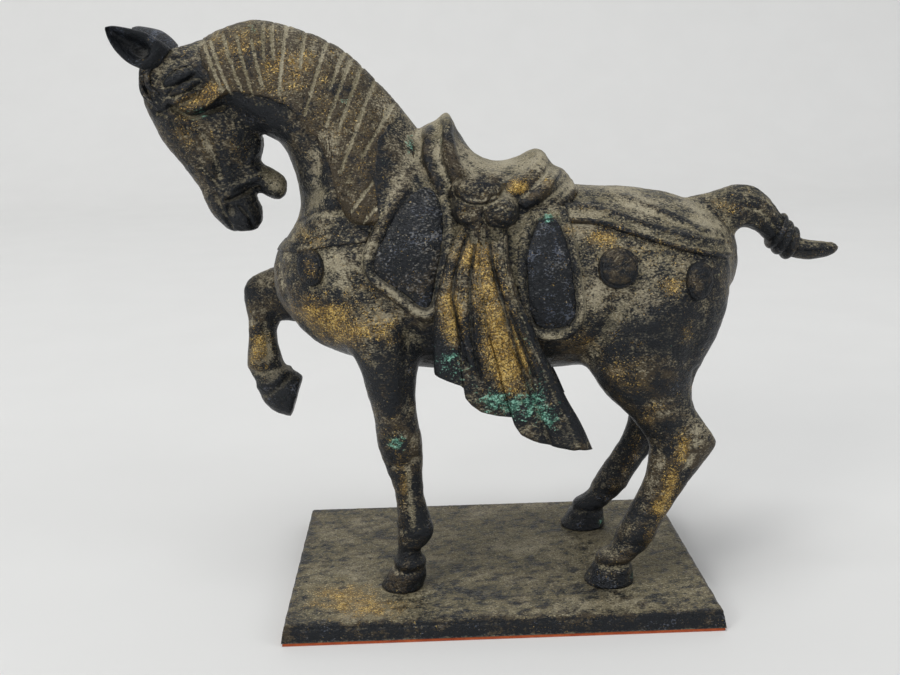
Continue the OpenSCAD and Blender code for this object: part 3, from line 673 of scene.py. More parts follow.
MANE_CREST = np.array([(-21.5, 143.6), (-25.5, 149), (-31, 156.2), (-38, 162.2), (-46, 167.3), (-54, 170.8),
                       (-62, 172.5), (-69, 172.6), (-76, 170.9), (-82, 168.6)], float)
MANE_HEM = np.array([(-33, 117.5), (-36.5, 117.3), (-41, 119), (-45, 127), (-49, 136), (-53, 143.5),
                     (-59, 149), (-66, 151.3), (-73, 150.6), (-79, 148.9)], float)
MANE_LOCKS = np.array([
    (-80, 167.5, -74.5, 153), (-78, 167.5, -72.5, 153), (-74.5, 169, -69.5, 154),
    (-70.5, 168.5, -66.5, 153), (-66.5, 167.5, -63.5, 155), (-63.5, 171.5, -63, 162.5),
    (-61, 171.5, -60.5, 162.5), (-57, 171.5, -59, 153), (-52, 169.5, -53, 160), (-46, 166.5, -52, 147),
    (-41.5, 163.5, -45, 154), (-39.5, 161.5, -46, 144.5), (-36.5, 160, -42.5, 143.5),
    (-32.5, 157, -42.5, 131.5), (-28, 149, -36.5, 135.5), (-24, 141, -40, 120.5),
    (-23.5, 131.5, -36.5, 117.6), (-21.5, 130, -33.5, 112.6)], float)


def lock_lines(x, z, width):
    """Nearness to the cut lines between the mane's locks."""
    near = np.zeros(np.shape(x))
    for ax, az, bx, bz in MANE_LOCKS:
        near = np.maximum(near, bell(line_distance(x, z, [(ax, az), (bx, bz)]), width))
    return near


def mane(form):
    """A strip bent over the neck: one way along the crest, the other from the left hem over the crest
    to the right hem as a quarter sine on each side."""
    rows, columns = 300, 157
    crest, hem = smooth_rows(MANE_CREST, rows), smooth_rows(MANE_HEM, rows)
    v = np.linspace(-1, 1, columns)
    fall = np.abs(v) ** 1.25
    middle = crest + (crest - hem) / np.linalg.norm(crest - hem, axis=1, keepdims=True) * 10
    width = 24 * np.sin(np.minimum(np.abs(v) * 1.35, 1) * math.pi / 2)
    side_view = middle[:, None] + (hem - middle)[:, None] * fall[None, :, None]
    start = np.stack([side_view[..., 0], np.broadcast_to(width * np.sign(v), side_view.shape[:2]),
                      side_view[..., 1]], -1)
    core = np.stack([hem[:, 0], np.zeros(rows), hem[:, 1]], -1)[:, None]
    places, normals = laid_on(form, start, start - core)
    x, z = places[..., 0], places[..., 2]
    cut = lock_lines(x, z, 0.42)
    along = np.arange(rows)[:, None] / rows * 300
    hair = 0.03 * np.sin(along * 1.9 + 3 * np.sin(np.abs(v) * 5 + along * 0.05))
    height = 1.0 + hair + 0.06 * waves(places.reshape(-1, 3), 3, 8).reshape(x.shape) - 0.34 * cut
    height += 0.35 * ramp(np.abs(v), 0.8, 0.95) - 0.75 * ramp(np.arange(rows)[:, None], rows * 0.93, rows - 2)
    return skin(places, normals, height)


SADDLE = [(-22, 122, 140.5, 7), (-19, 121, 143, 12.5), (-15.5, 118, 144.5, 15), (-12, 117, 146.6, 17),
          (-8.5, 117, 140.3, 18), (-4, 117, 134.6, 19), (2, 117, 132.3, 19.5), (8, 117, 133.2, 19),
          (12.5, 117, 135.3, 18.5), (15.5, 117, 135.2, 17.5), (18.5, 117, 131.2, 16),
          (21.5, 118, 129.8, 13), (23.5, 121, 127.8, 9)]
SADDLE_OUTLINE = [(-25, 152), (-24.5, 138), (-22.5, 128), (-17, 120.5), (-12, 117.5), (4, 117.3),
                  (12, 117.5), (20, 119), (25.5, 124), (27, 131), (27, 152)]
# Folds of the saddle's cover in side view: curve, half breadth, height
SADDLE_FOLDS = [
    ([(-12.5, 144), (-12.4, 137.8), (-9.5, 130.5)], 1.4, 0.8),
    ([(-14.7, 143), (-15.6, 135), (-12.5, 127)], 1.1, -1.1),
    ([(-17.2, 142.5), (-18.6, 135), (-14.5, 124.5)], 1.2, 0.9),
    ([(-20.2, 139), (-21, 131), (-17.5, 124)], 0.9, -0.7),
    ([(-22.6, 139), (-23.6, 131), (-20, 123)], 1.2, 0.6),
    ([(-9.6, 141), (-8.4, 135), (-5, 130.6)], 1.3, -0.7), ([(-6.5, 137), (-4, 132), (0, 129)], 1.5, 0.4),
    ([(3.5, 123.5), (9.5, 129), (14.2, 134.2)], 1.0, 0.8),
    ([(6, 122.3), (12, 127), (17, 131.6)], 0.8, -0.9),
    ([(8.6, 121), (14.6, 125.6), (19.6, 129.3)], 0.9, 0.9),
    ([(11, 119.6), (17, 123.6), (22, 127)], 0.8, -0.7), ([(1.5, 127), (7.5, 131), (12, 134)], 0.9, -0.5),
    ([(14, 118.6), (19.5, 121.6), (24, 124.4)], 0.9, 0.5)]


def saddle(form):
    """The saddle grown out of the cloth: the barrel and neck a little grown and the saddle's own loft
    are fused by a remesh, their inner corners filled by relaxing what is hollow, and the part inside
    the saddle's outline is kept, its border dipping under the cloth, and given a wall inwards."""
    seat_rows = [(x, low, x, high, 0, width) for x, low, high, width in SADDLE]
    shapes = [loft(seat_rows, 80, 80, squareness=0.85, narrowing=0.2),
              loft(BARREL[3:12], 60, 96, 0.95, 0.92, 0.1), loft(NECK[:6], 50, 80, 0.8, 1.0, 0.3)]
    block = finished_with(joined("cast_saddle", *shapes), "REMESH", mode="VOXEL", voxel_size=SADDLE_VOXEL * MM)
    points, edges = points_of(block), edges_of(block)
    near = ((points[:, 0] > -32) & (points[:, 0] < 33) & (points[:, 2] > 110)).astype(float)
    points = relaxed(points, edges, 0.5 * near, 8)
    for _ in range(5):
        set_points(block, points)
        hollow = ((relaxed(points, edges, 0.6, 14) - points) * normals_of(block)).sum(1)
        points = relaxed(points, edges, 0.6 * near * ramp(hollow, 0.02, 0.12), 22)
    set_points(block, points)
    normals = normals_of(block)
    x, y, z = points.T
    fold = sum(height * groove(x, z, line, width) for line, width, height in SADDLE_FOLDS)
    fold = fold * ramp(np.abs(y), 3, 9) + 0.08 * waves(points, 6, 41) + 0.04 * waves(points, 2.2, 42)
    points = points + normals * (fold * near)[:, None]
    border = line_distance(x, z, SADDLE_OUTLINE[1:-1])
    points = relaxed(points, edges, 0.4 * near, 2) - normals * (0.9 * ramp(-border, -1.6, -0.4))[:, None]
    set_points(block, points)
    bm = bmesh.new()
    bm.from_mesh(block.data)
    centres = np.array([tuple(f.calc_center_median()) for f in bm.faces]) / MM - LIFTED
    away = ~inside(centres[:, 0], centres[:, 2], np.array(SADDLE_OUTLINE, float))
    faces = list(bm.faces)
    bmesh.ops.delete(bm, geom=[faces[i] for i in np.flatnonzero(away)], context="FACES")
    bm.to_mesh(block.data)
    bm.free()
    return finished_with(block, "SOLIDIFY", thickness=1.0 * MM, offset=-1.0)


def grid_edges(rows, columns):
    """The pairs of neighbouring points of a grid."""
    index = np.arange(rows * columns).reshape(rows, columns)
    across = np.stack([index[:, :-1].ravel(), index[:, 1:].ravel()], 1)
    down = np.stack([index[:-1].ravel(), index[1:].ravel()], 1)
    return np.concatenate([across, down])


# Lobes of a knot: x, y, z and the three radii
KNOT_LOBES = [(-4.5, 21.8, 126, 6.7, 5.8, 4.3), (-8, 22.4, 120.6, 3.6, 4.8, 4.2),
              (1.5, 23.2, 119.9, 4.7, 5.2, 4.6), (-4.4, 22.6, 115.4, 4.4, 3.6, 4),
              (-3.6, 22.2, 121, 6.4, 5.2, 6.4)]


def knot(form, side):
    """A knot of cloth as heights over the flank: the soft maximum of its lobes' ellipsoids, with the
    turns of the cloth pressed into the lobes."""
    a, b = disc_grid(150)
    x, z = -3.2 + 10.6 * a, 120.8 + 11.2 * b
    places, normals = on_side(form, x, z, side)
    reach = np.abs(places[..., 1])
    k = 1.05
    total = np.exp(k * (reach + 0.6 - 25))
    for cx, cy, cz, rx, ry, rz in KNOT_LOBES:
        d = np.hypot((x - cx) / rx, (z - cz) / rz)
        dome = cy + ry * np.sqrt(np.maximum(1 - d * d, 0)) - 7 * np.maximum(d * d - 1, 0)
        total = total + np.exp(k * (dome - 25))
    out = 25 + np.log(total) / k
    ball = np.hypot((x - 1.4) / 4.9, (z - 119.9) / 4.7)
    disc = np.hypot((x + 4.5) / 6.9, (z - 126.6) / 4.1)
    turn = np.arctan2(z - 119.9, x - 1.4)
    swirl = np.cos(6.283 * (ball * 1.9 - turn / 6.283))
    out += 0.26 * swirl * ramp(1.05 - ball, 0, 0.25) * ramp(ball, 0.1, 0.35) - 0.6 * bell(ball - 1.03, 0.09)
    out += 0.35 * bell(disc - 0.86, 0.1) - 0.75 * bell(disc - 1.04, 0.08) - 0.3 * bell(disc, 0.6)
    small = np.hypot((x + 8.1) / 2.7, (z - 120.4) / 2.9)
    out += 0.25 * bell(small - 1.0, 0.2) - 1.1 * bell(small, 0.55)
    for line in ([(-10, 117), (-7, 114.5), (-6, 111.5)], [(-3.8, 117), (-4, 113)], [(0, 115), (-1.4, 111.5)]):
        out -= 0.5 * groove(x, z, line, 0.5)
    out += 0.1 * waves(places.reshape(-1, 3) * [1, 0, 1], 2.4, 51).reshape(out.shape)
    top = places.copy()
    share = rim_share(*out.shape, 2)
    top[..., 1] = side * ((reach - 0.5) * (1 - share) + np.maximum(out, reach - 0.3) * share)
    under = places.copy()
    under[..., 1] = side * (reach - 0.9)
    return shell(top, under)


DRAPE_LEFT = [(-9, 117), (-12.5, 111), (-15, 104.5), (-17, 97), (-18, 89), (-18.2, 77), (-17.5, 75.2)]
DRAPE_RIGHT = [(3.5, 117), (3.3, 110), (4, 104.5), (5.8, 98), (8.8, 91), (11.8, 83), (15.2, 76),
               (19.5, 66.8), (23.5, 59.5), (26.8, 51.8)]
DRAPE_HEM = [(-17.5, 75.2), (-10.5, 72.2), (-9.5, 71.2), (-9.1, 68.3), (-7.6, 66.4), (-5, 64.4), (0, 62.9),
             (3.7, 62.4), (4.5, 59.8), (6.2, 57.2), (9.6, 55.2), (14.5, 53.5), (21.5, 52), (26.8, 51.8)]
DRAPE_FALL = np.array([(45, 30.8), (92, 30.8), (100, 30.2), (108, 28.2), (114, 25.2), (120, 20.5)], float)
# The valleys between the pleats in side view
PLEAT_LINES = [np.array(line, float) for line in (
    [(-5.4, 114), (-7.5, 102.7), (-7.7, 92.7), (-6.8, 82.5), (-4.9, 74)],
    [(-2, 113), (-1.1, 104.5), (1.3, 96.5), (3.7, 86.3), (6.1, 78), (9, 69)],
    [(-8.3, 113), (-11.4, 104.8), (-12.5, 96.9), (-10.8, 88), (-9, 78)], [(3, 93), (6.6, 84), (10, 74)])]
# Where the pleats part: their shares of the width at the knot and at the hem
PLEATS = [(0.0, 0.0), (0.27, 0.2), (0.5, 0.53), (0.76, 0.78), (1.0, 1.0)]


def measured(line, count):
    """Points at even lengths along a line."""
    line = np.asarray(line, float)
    length = np.concatenate([[0], np.cumsum(np.hypot(*np.diff(line, axis=0).T))])
    share = np.linspace(0, length[-1], count)
    return np.stack([np.interp(share, length, line[:, k]) for k in (0, 1)], 1)


def drape(side):
    """A hanging cloth end: a Coons patch between its two edges, the knot and the hem. Across it lie
    four pleats, each a half-round swell with a sharp valley, one lapping over the next."""
    rows, columns = 230, 150
    left, right = measured(smooth_rows(DRAPE_LEFT, 90), rows), measured(smooth_rows(DRAPE_RIGHT, 90), rows)
    hem = measured(DRAPE_HEM, columns)
    knot_line = np.linspace(left[0], right[0], columns)
    u, v = np.linspace(0, 1, columns)[None, :, None], np.linspace(0, 1, rows)[:, None, None]
    patch = (1 - u) * left[:, None] + u * right[:, None] + (1 - v) * knot_line[None] + v * hem[None]
    patch = patch - (1 - v) * ((1 - u) * left[0] + u * right[0]) - v * ((1 - u) * left[-1] + u * right[-1])
    x, z = patch[..., 0], patch[..., 1]
    u, v = np.broadcast_to(u[..., 0], x.shape), np.broadcast_to(v[..., 0], x.shape)
    flat = np.stack([x, np.zeros_like(x), z], -1).reshape(-1, 3)
    sway = 0.02 * np.sin(v * 9 + 1.3) + 0.012 * np.sin(v * 21)
    swell = np.zeros_like(x)
    for number, (near, far) in enumerate(zip(PLEATS[:-1], PLEATS[1:])):
        start, end = (p[0] + (p[1] - p[0]) * v + sway * (0 < p[0] < 1) for p in (near, far))
        t = (u - start) / (end - start)
        within = (t >= 0) & (t < 1)
        lap = (0.25 + 0.75 * v) * (0.9 * np.clip(1 - t, 0, 1) - 0.3) * (number > 0)
        swell += within * ((0.5 + 0.9 * v) * np.maximum(4 * t * (1 - t), 0) ** 0.55 + lap)
    for line in PLEAT_LINES:
        ridge = 0.5 * groove(x, z, line + [1.5, 0], 1.1) * ramp(v, 0.04, 0.2)
        swell += ridge - 0.95 * groove(x, z, line, 0.5)
    swell -= 0.4 * bell(u - 0.925, 0.016) * ramp(v, 0.02, 0.1) - 0.25 * bell(u - 0.965, 0.022)
    swell += (0.16 * waves(flat, 6, 61) + 0.08 * waves(flat, 2, 62)).reshape(x.shape)
    swell = relaxed(swell.reshape(-1, 1), grid_edges(rows, columns), 0.5, 2).reshape(x.shape)
    base = np.interp(z, DRAPE_FALL[:, 0], DRAPE_FALL[:, 1]) - 1.2
    edge = np.minimum(np.minimum(u, 1 - u) * 22, (1 - v) * 60)
    thick = 1.1 + 1.5 * np.sqrt(np.clip(edge / 1.1, 0, 1))
    round_off = 0.8 * (1 - np.sqrt(np.clip(edge / 0.9, 0, 1)))
    outer = base + swell - round_off
    top = np.stack([x, side * outer, z], -1)
    under = np.stack([x, side * (base + 0.6 * swell - round_off - thick), z], -1)
    return shell(top, under)


CRUPPER_MIDDLE = np.array([(20, 118.2), (30, 117.2), (40, 114), (50, 110.8), (60, 108.3),
                           (68.6, 106.6)], float)


def crupper_strap(form, side):
    """A strip along the croup: its middle line in side view, laid round the barrel, with a corded upper
    edge, a sunk band and a thin lower edge."""
    rows, columns = 190, 26
    middle = smooth_rows(CRUPPER_MIDDLE, rows)
    v = np.linspace(-1, 1, columns)
    x = np.broadcast_to(middle[:, :1], (rows, columns))
    places, normals = on_side(form, x, middle[:, 1:] + 2.5 * v, side)
    cord = 1 + 0.12 * np.sin(np.linspace(0, 150, rows))[:, None]
    height = 0.75 + 0.75 * cord * bell(v - 0.62, 0.3) + 0.45 * bell(v + 0.66, 0.22) + 0 * x
    return skin(places, normals, height, rim=2)


def breast_strap(form):
    """A band round the chest: an arc in plan, falling forwards, laid inwards on the castings."""
    rows, columns = 300, 18
    turn = np.radians(np.linspace(-87, 87, rows))[:, None]
    v = np.linspace(-1, 1, columns)[None]
    x, y = -34 - 26.5 * np.cos(turn), 30 * np.sin(turn)
    z = np.interp(np.abs(np.degrees(turn)), [0, 30, 50, 70, 87], [109, 110.5, 113.4, 115.6, 116.6]) + 1.8 * v
    start = np.stack(np.broadcast_arrays(x + 0 * v, y + 0 * v, z), -1)
    places, normals = laid_on(form, start, start - [-34, 0, 110.0])
    height = 0.2 + 0.4 * np.sqrt(np.maximum(1 - v**2, 0)) + 0 * x
    return skin(places, normals, height, rim=2)


def medallion(form, middle, radii, side, seed):
    """A round or oval boss: a flat-topped dome over its disc, with a few short strokes scratched in."""
    a, b = disc_grid(76)
    x, z = middle[0] + radii[0] * a, middle[1] + radii[1] * b
    places, normals = on_side(form, x, z, side)
    radius = np.clip(np.hypot(a, b), 0, 1)
    draw = np.random.default_rng(seed)
    strokes = np.zeros_like(x)
    for _ in range(13):
        at, turn, length = draw.uniform(-0.55, 0.55, 2), draw.uniform(0, 3.14), draw.uniform(0.15, 0.5)
        step = np.array([math.cos(turn), math.sin(turn)]) * length
        strokes = np.maximum(strokes, bell(line_distance(a, b, [at - step, at + step]), 0.035))
    height = 1.0 + 1.75 * (1 - radius**2.4) ** 0.62 - 0.16 * strokes - 0.25 * bell(radius - 0.86, 0.05)
    height += 0.06 * waves(places.reshape(-1, 3), 1.6, seed).reshape(x.shape)
    return skin(places, np.broadcast_to(normals.mean((0, 1)), normals.shape), height)


EAR = [(-93.5, 159.5, -89.5, 166, -4.5, 2.8), (-97, 160.3, -92, 168.3, -7, 3.3),
       (-100.4, 162.2, -95.2, 170.3, -9.5, 3.3), (-102.9, 165.2, -99.4, 171.4, -11.5, 2.7),
       (-104.3, 168.4, -102.6, 171.9, -12.8, 1.6), (-104.7, 170.8, -104.5, 171.6, -13.5, 0.4)]


def ear(side):
    """A leaf-shaped loft whose outer face is drawn inwards into a bowl, deepest along its middle."""
    count, sides = 60, 64
    rows = smooth_rows(EAR, count)
    rings = ring_points(rows, sides)
    turn = np.linspace(0, 2 * math.pi, sides, endpoint=False)
    c, s = np.cos(turn), np.sin(turn)
    along = np.linspace(0, 1, count)[:, None]
    bowl = 1.85 * bell(s, 0.8) ** 1.5 * ramp(along, 0.12, 0.4) * ramp(1 - along, 0.0, 0.1) * (c < 0)
    rings[..., 1] -= (rows[:, 5:6] * c) * bowl
    rings[..., 1] -= 0.25 * bell(s, 0.12) * (c < 0) * ramp(along, 0.3, 0.5) * ramp(1 - along, 0.05, 0.2)
    points, faces = loft(EAR, count, sides)
    points[:-2] = rings.reshape(-1, 3)
    points[:, 1] *= -side
    points[:, 2] += 1.5 * (side == RIGHT)
    return points, faces


def tube(path, radii, sides=14, turns=0.0):
    """A round cord: circles of the given radii across a smooth path, lobed and twisted as hair is."""
    count = 60
    line, radius = smooth_rows(path, count), smooth_rows(np.asarray(radii)[:, None], count)[:, 0]
    tangent = np.gradient(line, axis=0)
    tangent /= np.linalg.norm(tangent, axis=1, keepdims=True)
    side_way = np.cross(tangent, [0, 1.0, 0.2])
    side_way /= np.linalg.norm(side_way, axis=1, keepdims=True)
    up_way = np.cross(tangent, side_way)
    turn = np.linspace(0, 2 * math.pi, sides * 2, endpoint=False)
    lobes = 1 + 0.14 * np.cos(4 * (turn + turns * np.linspace(0, 6.28, count)[:, None]))
    ring = lobes * radius[:, None]
    points = line[:, None] + (ring * np.cos(turn))[..., None] * side_way[:, None]
    points = points + (ring * np.sin(turn))[..., None] * up_way[:, None]
    total = sides * 2
    k = np.arange(total)
    start, last = count * total, (count - 1) * total
    fans = np.concatenate([np.stack([np.full(total, start), (k + 1) % total, k], 1),
                           np.stack([np.full(total, start + 1), last + k, last + (k + 1) % total], 1)])
    points = np.concatenate([points.reshape(-1, 3), line[[0, -1]]])
    return points, [grid_quads(count, total, closed=True), fans]


FORELOCK = [
    ([(-92, -1.0, 166.6), (-96, -1.4, 164.6), (-98.6, -1.4, 160), (-98.9, -1.6, 155), (-98.4, -1.2, 150.6)], [1.0, 1.3, 1.1, 0.9, 0.3]),
    ([(-92.6, -3.0, 166), (-96.4, -4.4, 162.6), (-98.0, -5.4, 158), (-97.4, -6.6, 153.6), (-94.6, -7.8, 150.6)], [0.9, 1.2, 1.0, 0.8, 0.3]),
    ([(-92, -4.4, 164.8), (-94.6, -6.4, 162), (-96.2, -7.2, 158.4), (-95.6, -8.0, 155.4), (-93, -8.8, 153.6)], [0.7, 1.0, 0.8, 0.6, 0.25]),
]


def forelock():
    """Twisted locks that fall from between the ears over the forehead, mirrored across the face."""
    shapes = []
    for side in (LEFT, RIGHT):
        shapes += [tube(np.array(path, float) * [1, -side, 1], radii, turns=0.8) for path, radii in FORELOCK]
    return shapes


TIE = [(88.5, 114.3, 84, 106, 0, 4.6), (91, 111.3, 87, 103.3, 0, 4.4), (93.5, 108.7, 90.8, 101.2, 0, 4.2)]


def tail_tie():
    """Three turns of cord round the tail: its section grown by the arches |sin|."""
    count, sides = 61, 48
    grow = 0.15 + 0.85 * np.abs(np.sin(np.linspace(0, 3 * math.pi, count))) ** 0.7
    points, faces = loft(TIE, count, sides)
    points[:-2] = ring_points(smooth_rows(TIE, count), sides, grow=grow).reshape(-1, 3)
    return points, faces


def tail_hair(points):
    """Long waved grooves in the tail: a sine of the turn round its middle line."""
    rows = smooth_rows(TAIL, 60)
    middle = np.stack([(rows[:, 0] + rows[:, 2]) / 2, (rows[:, 1] + rows[:, 3]) / 2], 1)
    across = rows[:, 2:4] - rows[:, 0:2]
    across /= np.linalg.norm(across, axis=1, keepdims=True)
    apart = (points[:, None, 0] - middle[None, :, 0]) ** 2 + (points[:, None, 2] - middle[None, :, 1]) ** 2
    near = apart.argmin(1)
    offset = ((points[:, [0, 2]] - middle[near]) * across[near]).sum(1)
    turn = np.arctan2(points[:, 1], offset)
    along = near / 60
    wave = np.sin(9 * turn + 2.5 * np.sin(along * 7)) + 0.6 * np.sin(17 * turn + 5 * along)
    deep = bell(np.abs(turn) - 1.25 - 0.3 * np.sin(along * 5), 0.12)
    return (0.11 * wave - 0.6 * deep) * ramp(along, 0.12, 0.3)


# Lines of the head in side view: the curve, half breadth, height
HEAD_LINES = [
    ([(-95.6, 158.4), (-92.6, 161.6), (-88, 164), (-81, 163.6)], 0.9, 0.8),
    ([(-82, 153.8), (-86.5, 150.6), (-91, 149.4), (-95, 148)], 0.6, -0.7),
    ([(-83, 156.6), (-87.5, 152), (-92, 150.8)], 0.8, 0.6),
    ([(-96.4, 158), (-97, 154), (-95.4, 149), (-91.6, 147.6)], 0.5, -0.6),
    ([(-94.4, 157), (-95.4, 153.4), (-94, 150)], 0.5, 0.4),
    ([(-90, 150), (-85.7, 147.4), (-81.4, 147.9), (-76, 150), (-71, 151.4)], 0.8, -1.9),
    ([(-90, 152), (-85, 149.6), (-80, 150.6), (-75, 152.4)], 0.9, 0.7),
    ([(-67.6, 147), (-66.8, 140), (-69.6, 134)], 1.0, 0.6),
    ([(-85.6, 145.5), (-82, 138), (-80.2, 131)], 1.2, 0.6),
    ([(-81.4, 142), (-79, 135), (-78.2, 130)], 1.0, -0.8),
    ([(-83.5, 133), (-80.5, 129.5), (-78.5, 126.6)], 0.6, -0.6),
    ([(-82, 130), (-79.6, 127.4), (-77.5, 125.8)], 0.5, 0.5),
    ([(-80, 124.6), (-77.8, 119), (-76.4, 115.2)], 0.6, -0.9),
    ([(-77, 123.2), (-73.5, 124.2), (-70.5, 125.6), (-67.8, 126.6)], 0.5, -1.3),
    ([(-75, 126.2), (-71, 128.4), (-67, 129.6)], 0.8, 0.6),
    ([(-73.2, 121.5), (-71, 118.4), (-70.2, 115)], 0.5, -0.9),
    ([(-69.4, 122), (-68.4, 119), (-68.8, 116)], 0.5, -0.5),
    ([(-90.5, 146.5), (-88.4, 141.5)], 0.45, -0.5), ([(-88.8, 147), (-86.6, 142)], 0.45, -0.5),
    ([(-87, 146.6), (-85, 142)], 0.45, -0.45), ([(-86, 145), (-83.6, 140.4)], 0.45, -0.35),
]
HEAD_BOSSES = [(-74, 140.5, 5.5, 7, 0.9), (-75.8, 120.6, 1.5, 1.9, -1.3),
               (-77.4, 121.4, 0.9, 2.4, 0.7), (-62.6, 126, 2, 2.2, 0.5), (-71, 117.5, 1.8, 2, 0.5)]


# The eye with its upper lid, and the pouch under it: middle, half length, half height, height
EYE_SWELLS = [(-87, 158.3, 5.2, 1.7, 1.0), (-85.6, 155.3, 4.9, 1.25, 0.75), (-84.6, 153, 4.6, 0.9, 0.4)]


def head_relief(points, normals):
    """Eyes, lids, brows, cheeks, nostrils and mouth as heights on the sides of the head."""
    x, y, z = points.T
    sideways = ramp(np.abs(normals[:, 1]), 0.1, 0.5)
    height = 0.04 * waves(points, 1.6, 71) + 0.05 * waves(points, 3.4, 72)
    for line, width, rise in HEAD_LINES:
        height += rise * sideways * groove(x, z, line, width)
    height += sideways * spots(x, z, HEAD_BOSSES)
    for mx, mz, long, high, rise in EYE_SWELLS:
        s, t = 0.914 * (x - mx) + 0.407 * (z - mz), 0.914 * (z - mz) - 0.407 * (x - mx)
        swell = (np.abs(s) / long) ** 1.8 + (np.abs(t + 0.05 * s * s / long) / high) ** 2
        lid = 1.5 * np.sqrt(np.maximum(1 - swell, 0)) - 0.55 * bell(swell - 1.15, 0.25)
        height += sideways * rise * lid
    seam = (x + 90) * 0.75 + (z - 169) * 0.662
    return height * ramp(-seam, 0.1, 2.0)


def slab(half_x, half_y, low, high, flare, spacing, rounding, unevenness, seed):
    """A flat plate: a plan grid carried on past its edges, where what is over falls straight down the
    sides, which lean out by the flare. The upper edge is worn round and the faces are a little uneven."""
    skirt = 9
    over = np.concatenate([-np.linspace(1, 1 / skirt, skirt), np.zeros(1)])
    runs = []
    for half in (half_x, half_y):
        inner = np.linspace(-half, half, int(2 * half / spacing))
        place = np.concatenate([np.full(skirt, -half), inner, np.full(skirt, half)])
        beyond = np.concatenate([over[:-1], np.zeros(len(inner)), -over[:-1][::-1]])
        runs.append((place, beyond))
    (px, ox), (py, oy) = runs
    x = (px + flare * ox)[:, None] + 0 * py[None]
    y = (py + flare * oy)[None] + 0 * px[:, None]
    drop = np.maximum(np.abs(ox)[:, None], np.abs(oy)[None])
    flat = np.stack([x, y, 0 * x], -1).reshape(-1, 3)
    edge = np.minimum(half_x - np.abs(px)[:, None], half_y - np.abs(py)[None])
    rough = waves(flat, 5, seed).reshape(x.shape)
    fine = waves(flat, 1.7, seed + 1).reshape(x.shape)
    z = high - drop * (high - low) + unevenness * (rough + 0.5 * fine) * (drop == 0)
    z = z - rounding * (1 + 0.5 * rough) * bell(edge, rounding * 1.1) * (drop < 0.3)
    inward = rounding * (0.5 + 0.3 * rough) * bell(drop, 0.12) * (drop > 0)
    x, y = x - inward * np.sign(ox)[:, None], y - inward * np.sign(oy)[None]
    top = np.stack([x, y, z], -1)
    under = top.copy()
    under[..., 2] = low
    return shell(top, under)


# ---- Finishes ----------------------------------------------------------------------------------
class Flow:
    """A value on its way through one finish's nodes: sums and products of it add Math nodes."""

    def __init__(self, tree, socket):
        self.tree, self.socket = tree, socket

    def math(self, operation, *others, clamp=False):
        node = self.tree.nodes.new("ShaderNodeMath")
        node.operation, node.use_clamp = operation, clamp
        for place, value in enumerate((self, *others)):
            feed(self.tree, node.inputs[place], value)
        return Flow(self.tree, node.outputs[0])

    def turned(self, operation, other):
        node = self.tree.nodes.new("ShaderNodeMath")
        node.operation = operation
        feed(self.tree, node.inputs[0], other)
        feed(self.tree, node.inputs[1], self)
        return Flow(self.tree, node.outputs[0])

    def __add__(self, other):
        return self.math("ADD", other)

    def __radd__(self, other):
        return self.math("ADD", other)

    def __sub__(self, other):
        return self.math("SUBTRACT", other)

    def __rsub__(self, other):
        return self.turned("SUBTRACT", other)

    def __mul__(self, other):
        return self.math("MULTIPLY", other)

    def __rmul__(self, other):
        return self.math("MULTIPLY", other)

    def between(self, low, high):
        """0 below low, 1 above high, smooth between."""
        node = self.tree.nodes.new("ShaderNodeMapRange")
        node.interpolation_type = "SMOOTHSTEP"
        for name, value in (("Value", self), ("From Min", low), ("From Max", high)):
            feed(self.tree, node.inputs[name], value)
        return Flow(self.tree, node.outputs["Result"])

    def held(self):
        return self.math("ADD", 0.0, clamp=True)


def feed(tree, socket, value):
    """Links a flow to the socket, or sets a plain value on it."""
    if isinstance(value, Flow):
        tree.links.new(value.socket, socket)
    elif value is not None:
        socket.default_value = value


